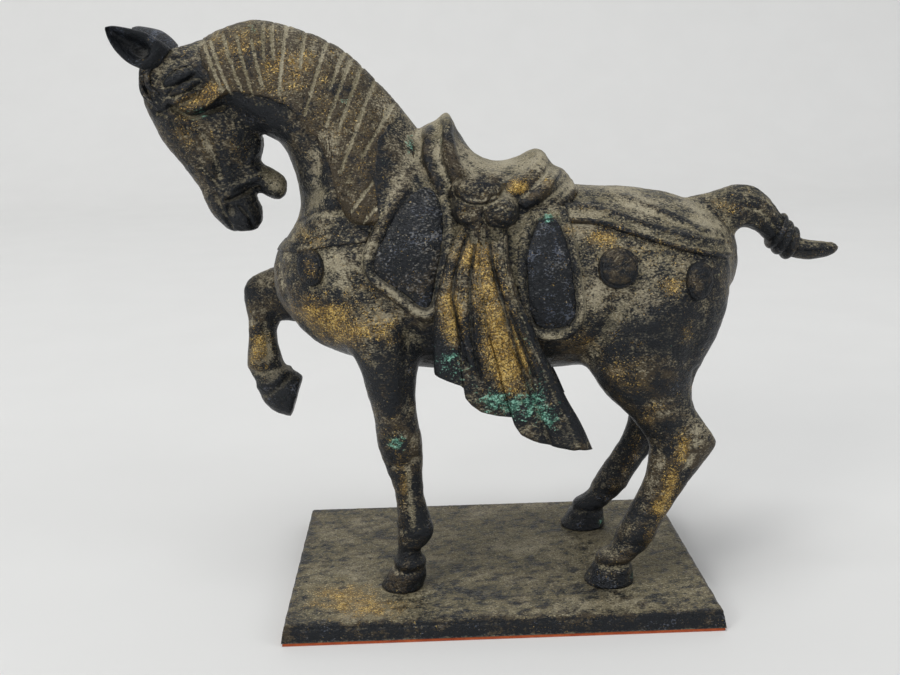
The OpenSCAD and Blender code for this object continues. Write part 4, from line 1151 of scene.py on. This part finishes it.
class Finish:
    """A material under way: its node tree, and one method that adds any node."""

    def __init__(self, name):
        self.material = bpy.data.materials.new(name)
        self.material.use_nodes = True
        self.tree = self.material.node_tree
        self.shader = self.tree.nodes["Principled BSDF"]
        self.place = self.add("ShaderNodeTexCoord").out("Object")

    def add(self, kind, settings=None, inputs=None):
        node = self.tree.nodes.new(kind)
        for key, value in (settings or {}).items():
            setattr(node, key, value)
        for key, value in (inputs or {}).items():
            feed(self.tree, node.inputs[key], value)
        return NodeFlow(self.tree, node)

    def moved(self, scale, seed):
        """The place on the object, scaled and shifted by the seed."""
        inputs = {"Vector": self.place, "Scale": scale, "Location": (seed,) * 3}
        return self.add("ShaderNodeMapping", {}, inputs).out("Vector")

    def grain(self, size, seed=0.0, detail=3.0, roughness=0.55, stretch=(1, 1, 1)):
        """Noise with features of about size millimetres, from 0 to 1."""
        scale = tuple(1 / (size * MM * s) for s in stretch)
        mapped = self.moved(scale, seed)
        inputs = {"Vector": mapped, "Scale": 1.0, "Detail": detail, "Roughness": roughness}
        return self.add("ShaderNodeTexNoise", {}, inputs).out("Fac")

    def cells(self, size, seed=0.0):
        """Distance to the nearest of scattered points about size millimetres apart."""
        scale = (1 / (size * MM),) * 3
        mapped = self.moved(scale, seed)
        return self.add("ShaderNodeTexVoronoi", {}, {"Vector": mapped, "Scale": 1.0}).out("Distance")

    def mixed(self, share, first, second):
        """Colour first, going over to colour second with the share."""
        node = self.add("ShaderNodeMix", {"data_type": "RGBA"}).node
        feed(self.tree, node.inputs["Factor"], share)
        colours = [s for s in node.inputs if s.type == "RGBA"]
        feed(self.tree, colours[0], first)
        feed(self.tree, colours[1], second)
        return Flow(self.tree, [s for s in node.outputs if s.type == "RGBA"][0])

    def bumped(self, height, distance):
        """A normal from a height in units of distance millimetres."""
        inputs = {"Height": height, "Distance": distance * MM, "Strength": 1.0}
        return self.add("ShaderNodeBump", {}, inputs).out("Normal")

    def finished(self, **sockets):
        """The material with the named sockets of its shader fed."""
        for name, value in sockets.items():
            feed(self.tree, self.shader.inputs[name.replace("_", " ")], value)
        return self.material


class NodeFlow:
    """A node whose outputs are taken by name."""

    def __init__(self, tree, node):
        self.tree, self.node = tree, node

    def out(self, name):
        return Flow(self.tree, self.node.outputs[name])


INK = (0.007, 0.009, 0.012, 1)
BROWN = (0.048, 0.036, 0.021, 1)
DUST = (0.2, 0.172, 0.098, 1)
PALE_DUST_AND_GLINT = (0.44, 0.395, 0.28, 1)
COOL_DUST_AND_SHEEN = (0.14, 0.155, 0.18, 1)
OCHRE = (0.15, 0.092, 0.027, 1)
BROWN_GILT = (0.36, 0.215, 0.045, 1)
GILT = (0.7, 0.5, 0.17, 1)
VERDIGRIS = (0.035, 0.15, 0.1, 1)
PALE_VERDIGRIS = (0.3, 0.62, 0.48, 1)
BLUE_GREY = (0.085, 0.1, 0.135, 1)


def patina(name, brown=0.5, blue=0.3, pale=0.5, cool=0.0, soft=0.0, seed=0.0):
    """Old patinated bronze. A dark ground, warmer or bluer in slow clouds, the blue-grey partly a bluish
    patina and partly a painted sheen, is stippled with dust, gilding and verdigris: each shows where its share
    on the surface plus a speckle of its own passes nought. The dark share, partly painted shade, holds all of
    these back, and fine pale flecks are painted glints of the rough metal."""
    f = Finish(name)
    worn = f.add("ShaderNodeAttribute", {"attribute_name": "wear"})
    parts = f.add("ShaderNodeSeparateColor", {}, {"Color": worn.out("Color")})
    on_dust, on_gilt, on_green = (parts.out(c) for c in ("Red", "Green", "Blue"))
    on_dark = worn.out("Alpha")
    cloud = f.grain(13, 3.1 + seed, 2.0) - 0.5
    patch = f.grain(4.2, 7.7 + seed, 3.0) - 0.5
    speck = f.grain(1.3, 1.3 + seed, 3.0, 0.65, (1.5, 1, 1)) - 0.5
    stipple = f.grain(0.46, 5.9 + seed, 2.0, 0.6, (1.7, 1, 1)) - 0.5
    salt = f.grain(0.42, 11.9 + seed, 2.0, 0.6) - 0.5
    warm = (cloud + patch * 0.6 + speck * 0.7 + stipple * 0.5 + brown - on_dark * 0.4).between(0.4, 0.62)
    ground = f.mixed(warm, INK, BROWN)
    # Blue-grey patches: partly a bluish patina, partly a painted sheen of the dark metal
    bluish = (patch * 1.4 + stipple * 1.8 - cloud + (blue - 0.62)).between(0.0, 0.3)
    ground = f.mixed(bluish * 0.8, ground, BLUE_GREY)
    ragged = cloud * 0.8 + patch * 0.9 + speck * 1.1
    dusty = ((on_dust - 0.5) * 1.3 + ragged + stipple * 2.0).between(-0.3 - soft, 0.48 + soft)
    dusty = dusty * (1 - on_dark)
    dust_colour = f.mixed((cloud * 1.5 + salt * 1.5 + pale).between(0.2, 0.85), DUST, PALE_DUST_AND_GLINT)
    # The cool dust colour is partly dust and partly a painted bluish-grey sheen on the upper faces
    dust_colour = f.mixed(cool, dust_colour, COOL_DUST_AND_SHEEN)
    colour = f.mixed(dusty * 0.85, ground, dust_colour)
    stained = ((on_gilt - 0.36) * 1.3 + patch * 1.1 + speck * 0.8 + salt * 0.9).between(-0.15, 0.4)
    stained = stained * (1 - on_dark)
    colour = f.mixed(stained * 0.75, colour, OCHRE)
    gilded = ((on_gilt - 0.52) * 1.1 + patch * 0.8 - speck * 1.2 + salt * 2.5).between(-0.04, 0.3)
    gilded = gilded * (1 - on_dark)
    gilt_colour = f.mixed((stipple * 2 + patch + 0.5).between(0.3, 0.75), BROWN_GILT, GILT)
    colour = f.mixed(gilded * 0.95, colour, gilt_colour)
    greened = ((on_green - 0.5) * 1.2 + speck * 1.8 + salt * 1.4 - patch * 0.4).between(-0.1, 0.3)
    green_colour = f.mixed((stipple * 2.5 + speck + 0.4).between(0.3, 0.8), VERDIGRIS, PALE_VERDIGRIS)
    colour = f.mixed(greened * 0.85, colour, green_colour)
    # Fine pale flecks painted as glints of the rough metal, in the pale dust colour
    glint_fleck = (salt * 1.6 + stipple * 0.9 + on_dust * 0.25 - on_dark * 0.35).between(0.34, 0.52)
    colour = f.mixed(glint_fleck * 0.6, colour, PALE_DUST_AND_GLINT)
    pits = (f.cells(1.1, 2.2 + seed) + speck + salt * 0.6).between(0.05, 0.3)
    colour = f.mixed((1 - pits) * 0.7, colour, INK)
    rough = 0.34 + dusty * 0.3 + greened * 0.25 + speck * 0.4 - gilded * 0.04
    metal = 0.35 + gilded * 0.35 - dusty * 0.3 - greened * 0.3
    height = stipple * 0.6 + speck * 1.1 + salt * 0.4 + pits * 0.3 + dusty * 0.12
    normal = f.bumped(height, 0.45)
    f.shader.inputs["Specular IOR Level"].default_value = 0.38
    return f.finished(Base_Color=colour, Roughness=rough.held(), Metallic=metal.held(), Normal=normal)


def felt_finish():
    """Dyed felt: short crossed fibres as stretched noise, a little uneven in its dye."""
    f = Finish("red_felt")
    along, across = f.grain(0.5, 1.0, 4.0, 0.7, (3, 1, 1)), f.grain(0.5, 2.0, 4.0, 0.7, (1, 3, 1))
    fibre = along * 0.5 + across * 0.5
    dye = f.grain(6, 4.0)
    colour = f.mixed(dye.between(0.3, 0.7), (0.42, 0.07, 0.02, 1), (0.62, 0.14, 0.04, 1))
    colour = f.mixed(fibre.between(0.4, 0.65) * 0.5, colour, (0.3, 0.05, 0.02, 1))
    return f.finished(Base_Color=colour, Roughness=0.95, Normal=f.bumped(fibre, 0.3))


def steel_finish():
    """Plated screws and pins: turned rings of fine scratches and small dull spots."""
    f = Finish("plated_steel")
    scratch = f.grain(0.3, 1.0, 3.0, 0.6, stretch=(8, 1, 1))
    spot = f.grain(1.2, 6.0, 3.0)
    colour = f.mixed(spot.between(0.5, 0.72), (0.55, 0.55, 0.56, 1), (0.3, 0.27, 0.23, 1))
    rough = 0.28 + scratch * 0.2 + spot.between(0.5, 0.72) * 0.3
    return f.finished(Base_Color=colour, Roughness=rough, Metallic=1.0, Normal=f.bumped(scratch, 0.03))


# Places of gilding, verdigris, dark and dust in side view: x, z, radii and amount. The dark places are partly
# darker patina, as on the muzzle, and partly painted shade: under the mane's hem, in the throat, under the
# belly and beside the drape. On the right side they lie a little off, by FAR_SHIFT
FAR_SHIFT = 2.5
GILDING = [(-56, 160, 8, 5, 0.36), (-70, 166, 8, 4, 0.28), (-82.5, 152, 5, 3, 0.3), (-77, 154.5, 4, 3, 0.3),
           (-86.5, 144, 4, 6, 0.36), (-72, 138, 3, 3, 0.28), (-51, 113.5, 6, 3.5, 0.4),
           (-52, 93, 8, 5, 0.38), (-43, 90, 10, 6, 0.3), (-31, 89, 5, 5, 0.3), (-45, 84, 10, 5, 0.3),
           (7, 126, 3, 2, 0.6), (30, 112, 5, 2.5, 0.5), (21, 114, 3, 2, 0.4), (48.5, 99, 4, 3.5, 0.4),
           (53, 86, 3, 4, 0.3), (25, 82, 6, 4, 0.35), (36, 74, 5, 8, 0.25), (44, 60, 3, 5, 0.25),
           (54, 49.5, 2.6, 5, 0.62), (51.5, 38, 2.6, 6, 0.62), (48, 31, 2.8, 4, 0.62), (45, 22, 3, 4, 0.35),
           (69.5, 117.5, 5, 3, 0.3), (-30, 54, 2.5, 4, 0.35), (-28, 40, 2, 9, 0.35), (-71, 77, 4, 8, 0.5),
           (42, 108, 14, 3, 0.2), (-40, 142, 6, 8, 0.12), (34, 96, 10, 8, 0.12), (60, 70, 6, 10, 0.12),
           (-36, 100, 6, 6, 0.15)]
GREENING = [(-66.5, 170.5, 3, 2, 0.4), (-23, 138, 1.6, 4, 0.55), (15, 117.5, 2.4, 2, 0.6),
            (-83, 148, 5, 2.5, 0.4), (-30, 54.5, 3.4, 3, 0.6), (-15, 138, 2, 3, 0.3),
            (41, 8.5, 2.5, 1.5, 0.5), (-25, 8, 3, 1.2, 0.3), (-41, 150, 2.5, 2.5, 0.3)]
# Partly darker patina, as on the muzzle, and partly painted shade: the lines under the mane's hem, the throat
# under the jaw, under the belly and beside the drape's left edge
DARKENING = [(44, 84, 9, 8, 0.3), (-77, 140, 6, 8, 0.2), (-73, 121, 9, 9, 0.85), (58, 84, 7, 8, 0.55),
             (46, 84, 7, 5, 0.4), (-103, 167, 9, 7, 0.6), (-28, 68, 9, 9, 0.35), (-66, 59, 9, 8, 0.75),
             (-17, 80, 5, 9, 0.8), (50, 55, 5, 6, 0.35), (-30, 20, 8, 5, 0.5), (-61, 138, 5, 5.5, 0.75),
             (-53, 128, 4, 9, 0.6), (-23, 40, 2, 14, 0.4), (38, 19, 3, 3, 0.3), (-76, 90, 4, 5, 0.2),
             (-40, 75, 5, 6, 0.2), (-80, 148, 5, 1.6, 0.7), (-72, 151, 6, 1.6, 0.7),
             (-61, 148.5, 6, 2, 0.7), (-88, 157, 4, 2, 0.6), (-83.4, 158.6, 3, 2, 0.5),
             (44, 92, 9, 6, 0.25), (34, 86, 8, 3, 0.3), (-30, 78, 8, 5, 0.35),
             (62, 90, 4, 12, 0.2)]
DUSTING = [(-62, 128, 4, 4.5, 0.5), (-70, 73, 5, 12, 0.3), (-28, 130, 6, 10, -0.28), (-33, 119, 5, 6, -0.2),
           (-27, 36, 2.6, 9, 0.35), (-60, 128, 4, 8, 0.15), (-46, 122, 6, 5, 0.15), (34, 104, 11, 9, 0.1),
           (49, 104, 10, 8, 0.06), (28, 93, 8, 7, 0.12), (57, 98, 8, 9, 0.03), (-46, 104, 8, 8, 0.3),
           (-36, 82, 5, 5, 0.25), (-35, 92, 6, 3, 0.3), (-50, 122, 4, 8, 0.25), (60, 55, 4, 5, 0.3),
           (-62, 127, 4, 4, 0.2), (28, 92, 8, 8, 0.12), (62, 112, 6, 5, 0.25)]


def weathered_and_shaded(piece, dust=0.0, gilt=0.0, green=0.0, dark=0.0, paint=None):
    """Gives each vertex its shares of dust, gilding, verdigris and dark; the dark share is partly painted
    shade. Dust lies on what faces up and in hollows, edges keep less of it and show dark, painted shade
    darkens what faces down, the insides of the legs and the far side's hind legs, which also lose gilding, the
    hooves are cleaner, and the rest follows the listed places and the piece's own paint."""
    points, edges, normals = points_of(piece), edges_of(piece), normals_of(piece)
    x, y, z = points.T
    fine = ((relaxed(points, edges, 0.6, 6) - points) * normals).sum(1)
    broad = ((relaxed(points, edges, 0.6, 40) - points) * normals).sum(1)
    up = normals[:, 2]
    hollow = np.clip(fine / 0.06, -1, 1) * 0.55 + np.clip(broad / 0.35, -1, 1) * 0.45
    shift = np.where(y > 0, FAR_SHIFT, 0)
    on_dust = 0.36 + 0.36 * np.clip(up, -0.8, 1) + 0.28 * hollow + dust + spots(x + shift, z, DUSTING)
    on_gilt = 0.08 + spots(x + shift, z + shift, GILDING) + gilt - 0.12 * np.clip(hollow, 0, 1)
    on_green = spots(x + shift, z, GREENING) + green
    # What faces down is darkened as painted shade
    on_dark = spots(x, z - shift, DARKENING) + dark + 0.5 * ramp(-up, 0.4, 0.95)
    # Painted shade: the insides of the legs, where they face each other, and the far side's lower hind legs,
    # which also lose gilding
    inner = ramp(12 - np.abs(y), 0, 4) * ramp(72 - z, 0, 6) * (z > 8)
    far = ramp(y, 2, 8) * ramp(76 - z, 0, 8) * (z > 6.5) * (x > 15)
    foot = ramp(21 - z, 0, 3) * (z > DRAWN_FLOOR + 0.3) * (1 - 0.8 * (x > 30) * (y < 0))
    on_dark += 0.4 * inner + 0.3 * far + 0.2 * foot
    on_dust -= 0.24 * foot
    on_gilt = on_gilt * (1 - 0.5 * far)
    shares = [on_dust, on_gilt, on_green, on_dark]
    if paint is not None:
        shares = [a + b for a, b in zip(shares, paint(x, y, z))]
    shares = np.clip(np.stack(shares, 1), 0, 1)
    layer = piece.data.attributes.new("wear", "FLOAT_COLOR", "POINT")
    layer.data.foreach_set("color", shares.astype(np.float32).ravel())
    return piece


def mane_paint(x, y, z):
    """Pale dust fills the cut lines between the locks."""
    line = lock_lines(x, z, 0.42)
    return 0.95 * line, -0.3 * line, 0.0, -0.5 * line


def cloth_paint(x, y, z):
    """Dust lies thick on the rolls round the flaps, and the valley between each roll and its flap is darkened
    as painted shade.
    """
    front, rear = flap_distance(x, z, FRONT_FLAP), flap_distance(x, z, REAR_FLAP)
    away = np.minimum(front, rear)
    # The dark along each flap's outline is painted shade in the valley between roll and flap
    return 0.34 * bell(away - 1.9, 1.6), -0.02, 0.0, 0.8 * bell(away - 0.1, 0.5)


def disc_paint(x, y, z):
    """Dust and bright scratches at the middle of each boss, its rim left darker as painted shade round the
    dome. The breast's bosses keep some gilding."""
    near = np.zeros(np.shape(x))
    for (mx, mz), (rx, rz) in MEDALLIONS.values():
        near = np.maximum(near, 1 - np.hypot((x - mx) / rx, (z - mz) / rz))
    breast = 0.3 * ramp(near, 0, 0.8) * (x < -40)
    # The rim, darker than the middle, is painted shade round the dome's edge
    return 0.2 * near, breast - 0.25 * (x > 0), 0.0, -0.1 * ramp(near, 0.1, 0.6) - 0.2 * breast


def seat_paint(x, y, z):
    """The seat is worn dark, and dust lies on the pommel's and the cantle's crests."""
    crest = spots(x, z, [(-12.5, 147, 3.4, 5, 0.55), (13, 136, 7, 3.4, 0.6), (2, 134.4, 11, 3.6, 0.65),
                         (21, 128, 5, 4, 0.25)])
    worn = spots(x, z, [(-9, 136, 4, 5, 0.3), (2, 127, 8, 4, 0.35), (-20, 133, 2, 7, 0.15),
                        (9, 126, 4, 3, 0.2)])
    return crest - worn, spots(x, z, [(7, 126, 3.5, 2, 0.3), (16, 127, 3, 2, 0.2)]), 0.0, 0.3 * worn


def drape_paint(x, y, z):
    """Rich gilding down the pleats, verdigris over the hem and dark lower corners; the valleys between the
    pleats and the strip by the right edge are darkened as painted shade.
    """
    gold = spots(x, z, [(-13.2, 93, 3.5, 9, 0.62), (-8, 108, 5, 6, 0.25), (-3, 99, 5, 10, 0.42),
                        (0, 84, 5, 10, 0.6), (6.5, 79, 3.5, 8, 0.45), (2, 71, 4, 6, 0.35),
                        (-5, 110, 6, 5, 0.25)])
    green = spots(x, z, [(5, 66, 7, 4.5, 0.55), (-3, 68.5, 5, 4.5, 0.45), (14, 62.5, 5, 4.5, 0.45),
                         (-13.5, 79, 4.5, 5, 0.48), (6, 84, 3, 6, 0.3), (11, 71, 4, 6, 0.35),
                         (-9, 76, 4, 4, 0.2)])
    # Painted shade in the valleys between the pleats
    pleat_shade = np.zeros(np.shape(x))
    for line in PLEAT_LINES:
        pleat_shade = np.maximum(pleat_shade, bell(line_distance(x, z, line), 0.5))
    crack = ramp(waves(np.stack([x * 1.5, y, z], 1), 1.7, 111), 0.35, 0.8) * 0.35
    # Painted shade in the pleat valleys and along the right edge's strip; the cracks are dark patina
    dark = 0.85 * pleat_shade + crack + spots(x, z, [(18, 57, 8, 4.5, 0.55), (10, 95, 2.5, 12, 0.5),
                                               (-15, 80, 3, 6, 0.3), (13, 82, 2.5, 9, 0.55),
                                               (-6, 76, 2.5, 4, 0.4), (20, 68, 3, 7, 0.5)])
    return 0.02 - 0.3 * green, gold, green, dark


def plate_paint(x, y, z):
    """Seen in plan: an ochre patch at one corner, pale and dark stains, and dark sides."""
    side = ramp(5.9 - z, 0, 0.5)
    gold = spots(x, y, [(-48, -24, 12, 9, 0.5), (-38, -34, 13, 6, 0.45), (25, 20, 14, 8, 0.1)])
    dust = spots(x, y, [(-46, -20, 16, 12, 0.2), (10, 10, 25, 10, 0.15), (45, -10, 15, 20, 0.2),
                        (5, -30, 18, 7, -0.15), (-30, 15, 14, 10, -0.1), (-8, -34, 10, 4, 0.15)])
    dark = spots(x, y, [(-5, -26, 10, 6, 0.3), (-22, -8, 8, 6, 0.3), (30, -30, 12, 6, 0.25),
                        (5, 32, 20, 6, 0.2), (-30, -12, 7, 5, 0.35), (33, 15, 8, 8, 0.35),
                        (33, -22, 6, 6, 0.3)])
    flat = np.stack([x, y, 0 * x], 1)
    smear = 0.26 * waves(flat * [0.5, 1, 1], 6, 101) + 0.16 * waves(flat * [0.6, 1, 1], 2.6, 102)
    top = 1 - side
    return (dust + smear) * top - 0.02 - 0.3 * side, gold * top, 0.05 * top, dark + 0.4 * side


def fitted(piece, node, finish):
    """The piece takes its finish, rides on the body and stands for its CAD nodes."""
    piece.data.materials.clear()
    piece.data.materials.append(finish)
    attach(piece, "root")
    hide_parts(*([node] if isinstance(node, str) else node))
    return piece


# Middle and radii of each pair of medallions in side view
MEDALLIONS = {"breast": ((-52, 105), (3.9, 5.3)), "croup": ((34, 103.5), (5.8, 5.8)),
              "rump": ((56.5, 99.5), (4.1, 5.5))}

form = casting_form()
cast = parted(form)
shapes = {"saddle_cloth": [saddle_cloth(form)], "mane": [mane(form)], "breast_strap": [breast_strap(form)],
          "forelock": forelock(), "tail_tie": [tail_tie()]}
for side, word in ((LEFT, "left"), (RIGHT, "right")):
    shapes["front_flap_" + word] = [flap(form, FRONT_FLAP, side, 20)]
    shapes["rear_flap_" + word] = [flap(form, REAR_FLAP, side, 30)]
    shapes["drape_" + word] = [drape(side)]
    shapes["knot_" + word] = [knot(form, side)]
    shapes["crupper_strap_" + word] = [crupper_strap(form, side)]
    shapes["ear_" + word] = [ear(side)]
for number, (word, (middle, radii)) in enumerate(MEDALLIONS.items()):
    shapes[word + "_medallions"] = [medallion(form, middle, radii, side, 80 + 3 * number + int(side))
                                    for side in (LEFT, RIGHT)]
saddle_piece = saddle(form)
bpy.data.objects.remove(form)

half_x, half_y = (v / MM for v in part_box("plinth")[1][:2])
felt_x, felt_y = (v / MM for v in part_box("felt_pad")[1][:2])
felt_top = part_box("felt_pad")[1][2] / MM
flare = 0.9
shapes["plinth"] = [slab(half_x - flare, half_y - flare, felt_top, DRAWN_FLOOR, flare, 0.62, 0.45, 0.07, 91)]
shapes["felt_pad"] = [slab(felt_x, felt_y, 0.0, felt_top, 0.0, 1.2, 0.12, 0.0, 95)]

finishes = {
    "bronze": patina("bronze_patina", brown=0.5, blue=0.3),
    # Its bluish dust is partly a painted sheen on the flaps, ears and forelock
    "dark": patina("dark_bronze", brown=0.35, blue=0.5, cool=0.65, seed=4.0),
    "dusty": patina("dusty_bronze", brown=0.5, blue=0.2, pale=0.55, seed=9.0),
    "mane": patina("mane_bronze", brown=0.72, blue=0.1, pale=0.45, seed=13.0),
    "gilt": patina("gilt_bronze", brown=0.5, seed=21.0),
    "disc": patina("disc_bronze", brown=0.6, blue=0.2, seed=27.0),
    "plate": patina("plate_patina", brown=0.55, blue=0.3, pale=0.3, soft=0.12, seed=33.0),
    "felt": felt_finish(),
}
# For each piece: material slot, finish, and its own weathering and painted shade
DRESS = {
    "saddle_cloth": ("dusty_bronze", "dusty", dict(dust=0.0, paint=cloth_paint)),
    "saddle": ("dusty_bronze", "dusty", dict(dust=0.0, paint=seat_paint)),
    "mane": ("dark_bronze", "mane", dict(dust=-0.12, gilt=0.1, paint=mane_paint)),
    "forelock": ("dark_bronze", "dark", dict(dust=-0.1, gilt=0.1, dark=0.2)),
    "tail_tie": ("bronze_patina", "bronze", dict(dust=0.0)),
    "breast_strap": ("bronze_patina", "bronze", dict(dust=-0.05)),
    "plinth": ("plate_patina", "plate", dict(paint=plate_paint)),
    "felt_pad": ("felt", "felt", {}),
    "drape": ("gilt_bronze", "gilt", dict(paint=drape_paint)),
    "knot": ("dusty_bronze", "dusty", dict(dust=-0.05, gilt=0.05)),
    "crupper": ("bronze_patina", "bronze", dict(dust=0.02, gilt=0.08)),
    "front": ("dark_bronze", "dark", dict(dust=-0.16)),
    "rear": ("dark_bronze", "dark", dict(dust=-0.25, dark=0.35)),
    "ear": ("dark_bronze", "dark", dict(dust=-0.2, dark=0.3)),
}
DISC = ("dark_bronze", "disc", dict(dust=-0.5, gilt=0.02, dark=0.42, paint=disc_paint))
for node, parts in shapes.items():
    slot, finish, wear = DRESS.get(node) or DRESS.get(node.split("_")[0]) or DISC
    piece = outward(joined("cast_" + node if node != "felt_pad" else "felt_sheet", *parts))
    fitted(weathered_and_shaded(piece, **wear), node, finishes[finish])
    node == "felt_pad"
slot, finish, wear = DRESS["saddle"]
fitted(weathered_and_shaded(saddle_piece, **wear), "saddle", finishes[finish])

for name, piece in cast.items():
    if name == "head":
        finished_with(piece, "SUBSURF", levels=1, render_levels=1)
        points, normals = points_of(piece), normals_of(piece)
        set_points(piece, points + normals * head_relief(points, normals)[:, None])
    if name == "tail":
        points, normals = points_of(piece), normals_of(piece)
        set_points(piece, points + normals * tail_hair(points)[:, None])
    capped(piece)
    paint = mane_paint if name in ("torso", "neck") else None
    weathered_and_shaded(piece, dust=0.14 if name == "tail" else 0, paint=paint)
    fitted(piece, name, finishes["bronze"])


# ---- Floor, light and camera -------------------------------------------------------------------
LIT_PLACE = (0, 0, 0.08)


def backdrop():
    """A pale sweep: flat under the object, then a quarter circle up behind it."""
    x = np.linspace(-4000, 4000, 33)
    y = np.concatenate([np.linspace(-3000, 1100, 24), 1100 + 500 * np.sin(np.linspace(0.1, math.pi / 2, 16)),
                        np.full(8, 1600.0)])
    z = np.concatenate([np.zeros(24), 500 - 500 * np.cos(np.linspace(0.1, math.pi / 2, 16)),
                        np.linspace(600, 2600, 8)])
    grid = np.stack(np.broadcast_arrays(x[None], y[:, None], z[:, None]), -1)
    # new_object lifts its points onto the plinth, and the floor stays at nought
    floor = new_object("pale_sweep", grid.reshape(-1, 3) - LIFTED, [grid_quads(*grid.shape[:2])[:, ::-1]])
    f = Finish("pale_paper")
    cloud = f.grain(60, 2.0, 2.0)
    colour = f.mixed(cloud.between(0.2, 0.8), (0.735, 0.735, 0.72, 1), (0.75, 0.75, 0.735, 1))
    floor.data.materials.append(f.finished(Base_Color=colour, Roughness=0.85))


def soft_light(name, place, size, power, colour=(1, 1, 1)):
    """A round area light that looks at the middle of the object."""
    lamp = bpy.data.lights.new(name, "AREA")
    lamp.shape, lamp.size, lamp.energy, lamp.color = "DISK", size, power, colour
    holder = bpy.data.objects.new(name, lamp)
    bpy.context.scene.collection.objects.link(holder)
    way = Vector(LIT_PLACE) - Vector(place)
    holder.matrix_world = Matrix.Translation(place) @ way.to_track_quat("-Z", "Y").to_matrix().to_4x4()


def camera():
    """A fixed camera: yaw, pitch and roll turn its axes, and its columns are right, up and backwards."""
    yaw, pitch, roll = -0.025831, 0.239408, -0.022637
    forward = np.array([-math.sin(yaw) * math.cos(pitch), math.cos(yaw) * math.cos(pitch), -math.sin(pitch)])
    level = np.array([math.cos(yaw), math.sin(yaw), 0])
    upright = np.cross(level, forward)
    right = math.cos(roll) * level + math.sin(roll) * upright
    up = -math.sin(roll) * level + math.cos(roll) * upright
    lens = bpy.data.cameras.new("camera")
    lens.lens, lens.sensor_width, lens.sensor_fit = 40.249, 36, "HORIZONTAL"
    lens.clip_start, lens.clip_end = 0.01, 20
    holder = bpy.data.objects.new("camera", lens)
    turn = np.eye(4)
    turn[:3, 0], turn[:3, 1], turn[:3, 2] = right, up, -forward
    turn[:3, 3] = np.array([-20.5164, -300.9411, 152.4725]) * MM
    holder.matrix_world = Matrix(turn.tolist())
    bpy.context.scene.collection.objects.link(holder)
    bpy.context.scene.camera = holder


backdrop()
world = bpy.data.worlds.new("studio")
world.use_nodes = True
world.node_tree.nodes["Background"].inputs["Color"].default_value = (0.96, 0.97, 1.0, 1)
world.node_tree.nodes["Background"].inputs["Strength"].default_value = 0.54
bpy.context.scene.world = world
bpy.context.scene.view_settings.view_transform = "Standard"
soft_light("overhead", (-0.5, -0.5, 2.8), 1.4, 31)
soft_light("front_left", (-2.2, -2.2, 1.7), 1.2, 26, (1, 0.98, 0.95))
soft_light("right", (2.4, -1.2, 1.6), 1.2, 9, (0.95, 0.97, 1))
camera()

steel = steel_finish()
for name in ("hoof_screws", "seam_pins"):
    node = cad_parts[name]
    node.data.materials.clear()
    node.data.materials.append(steel)
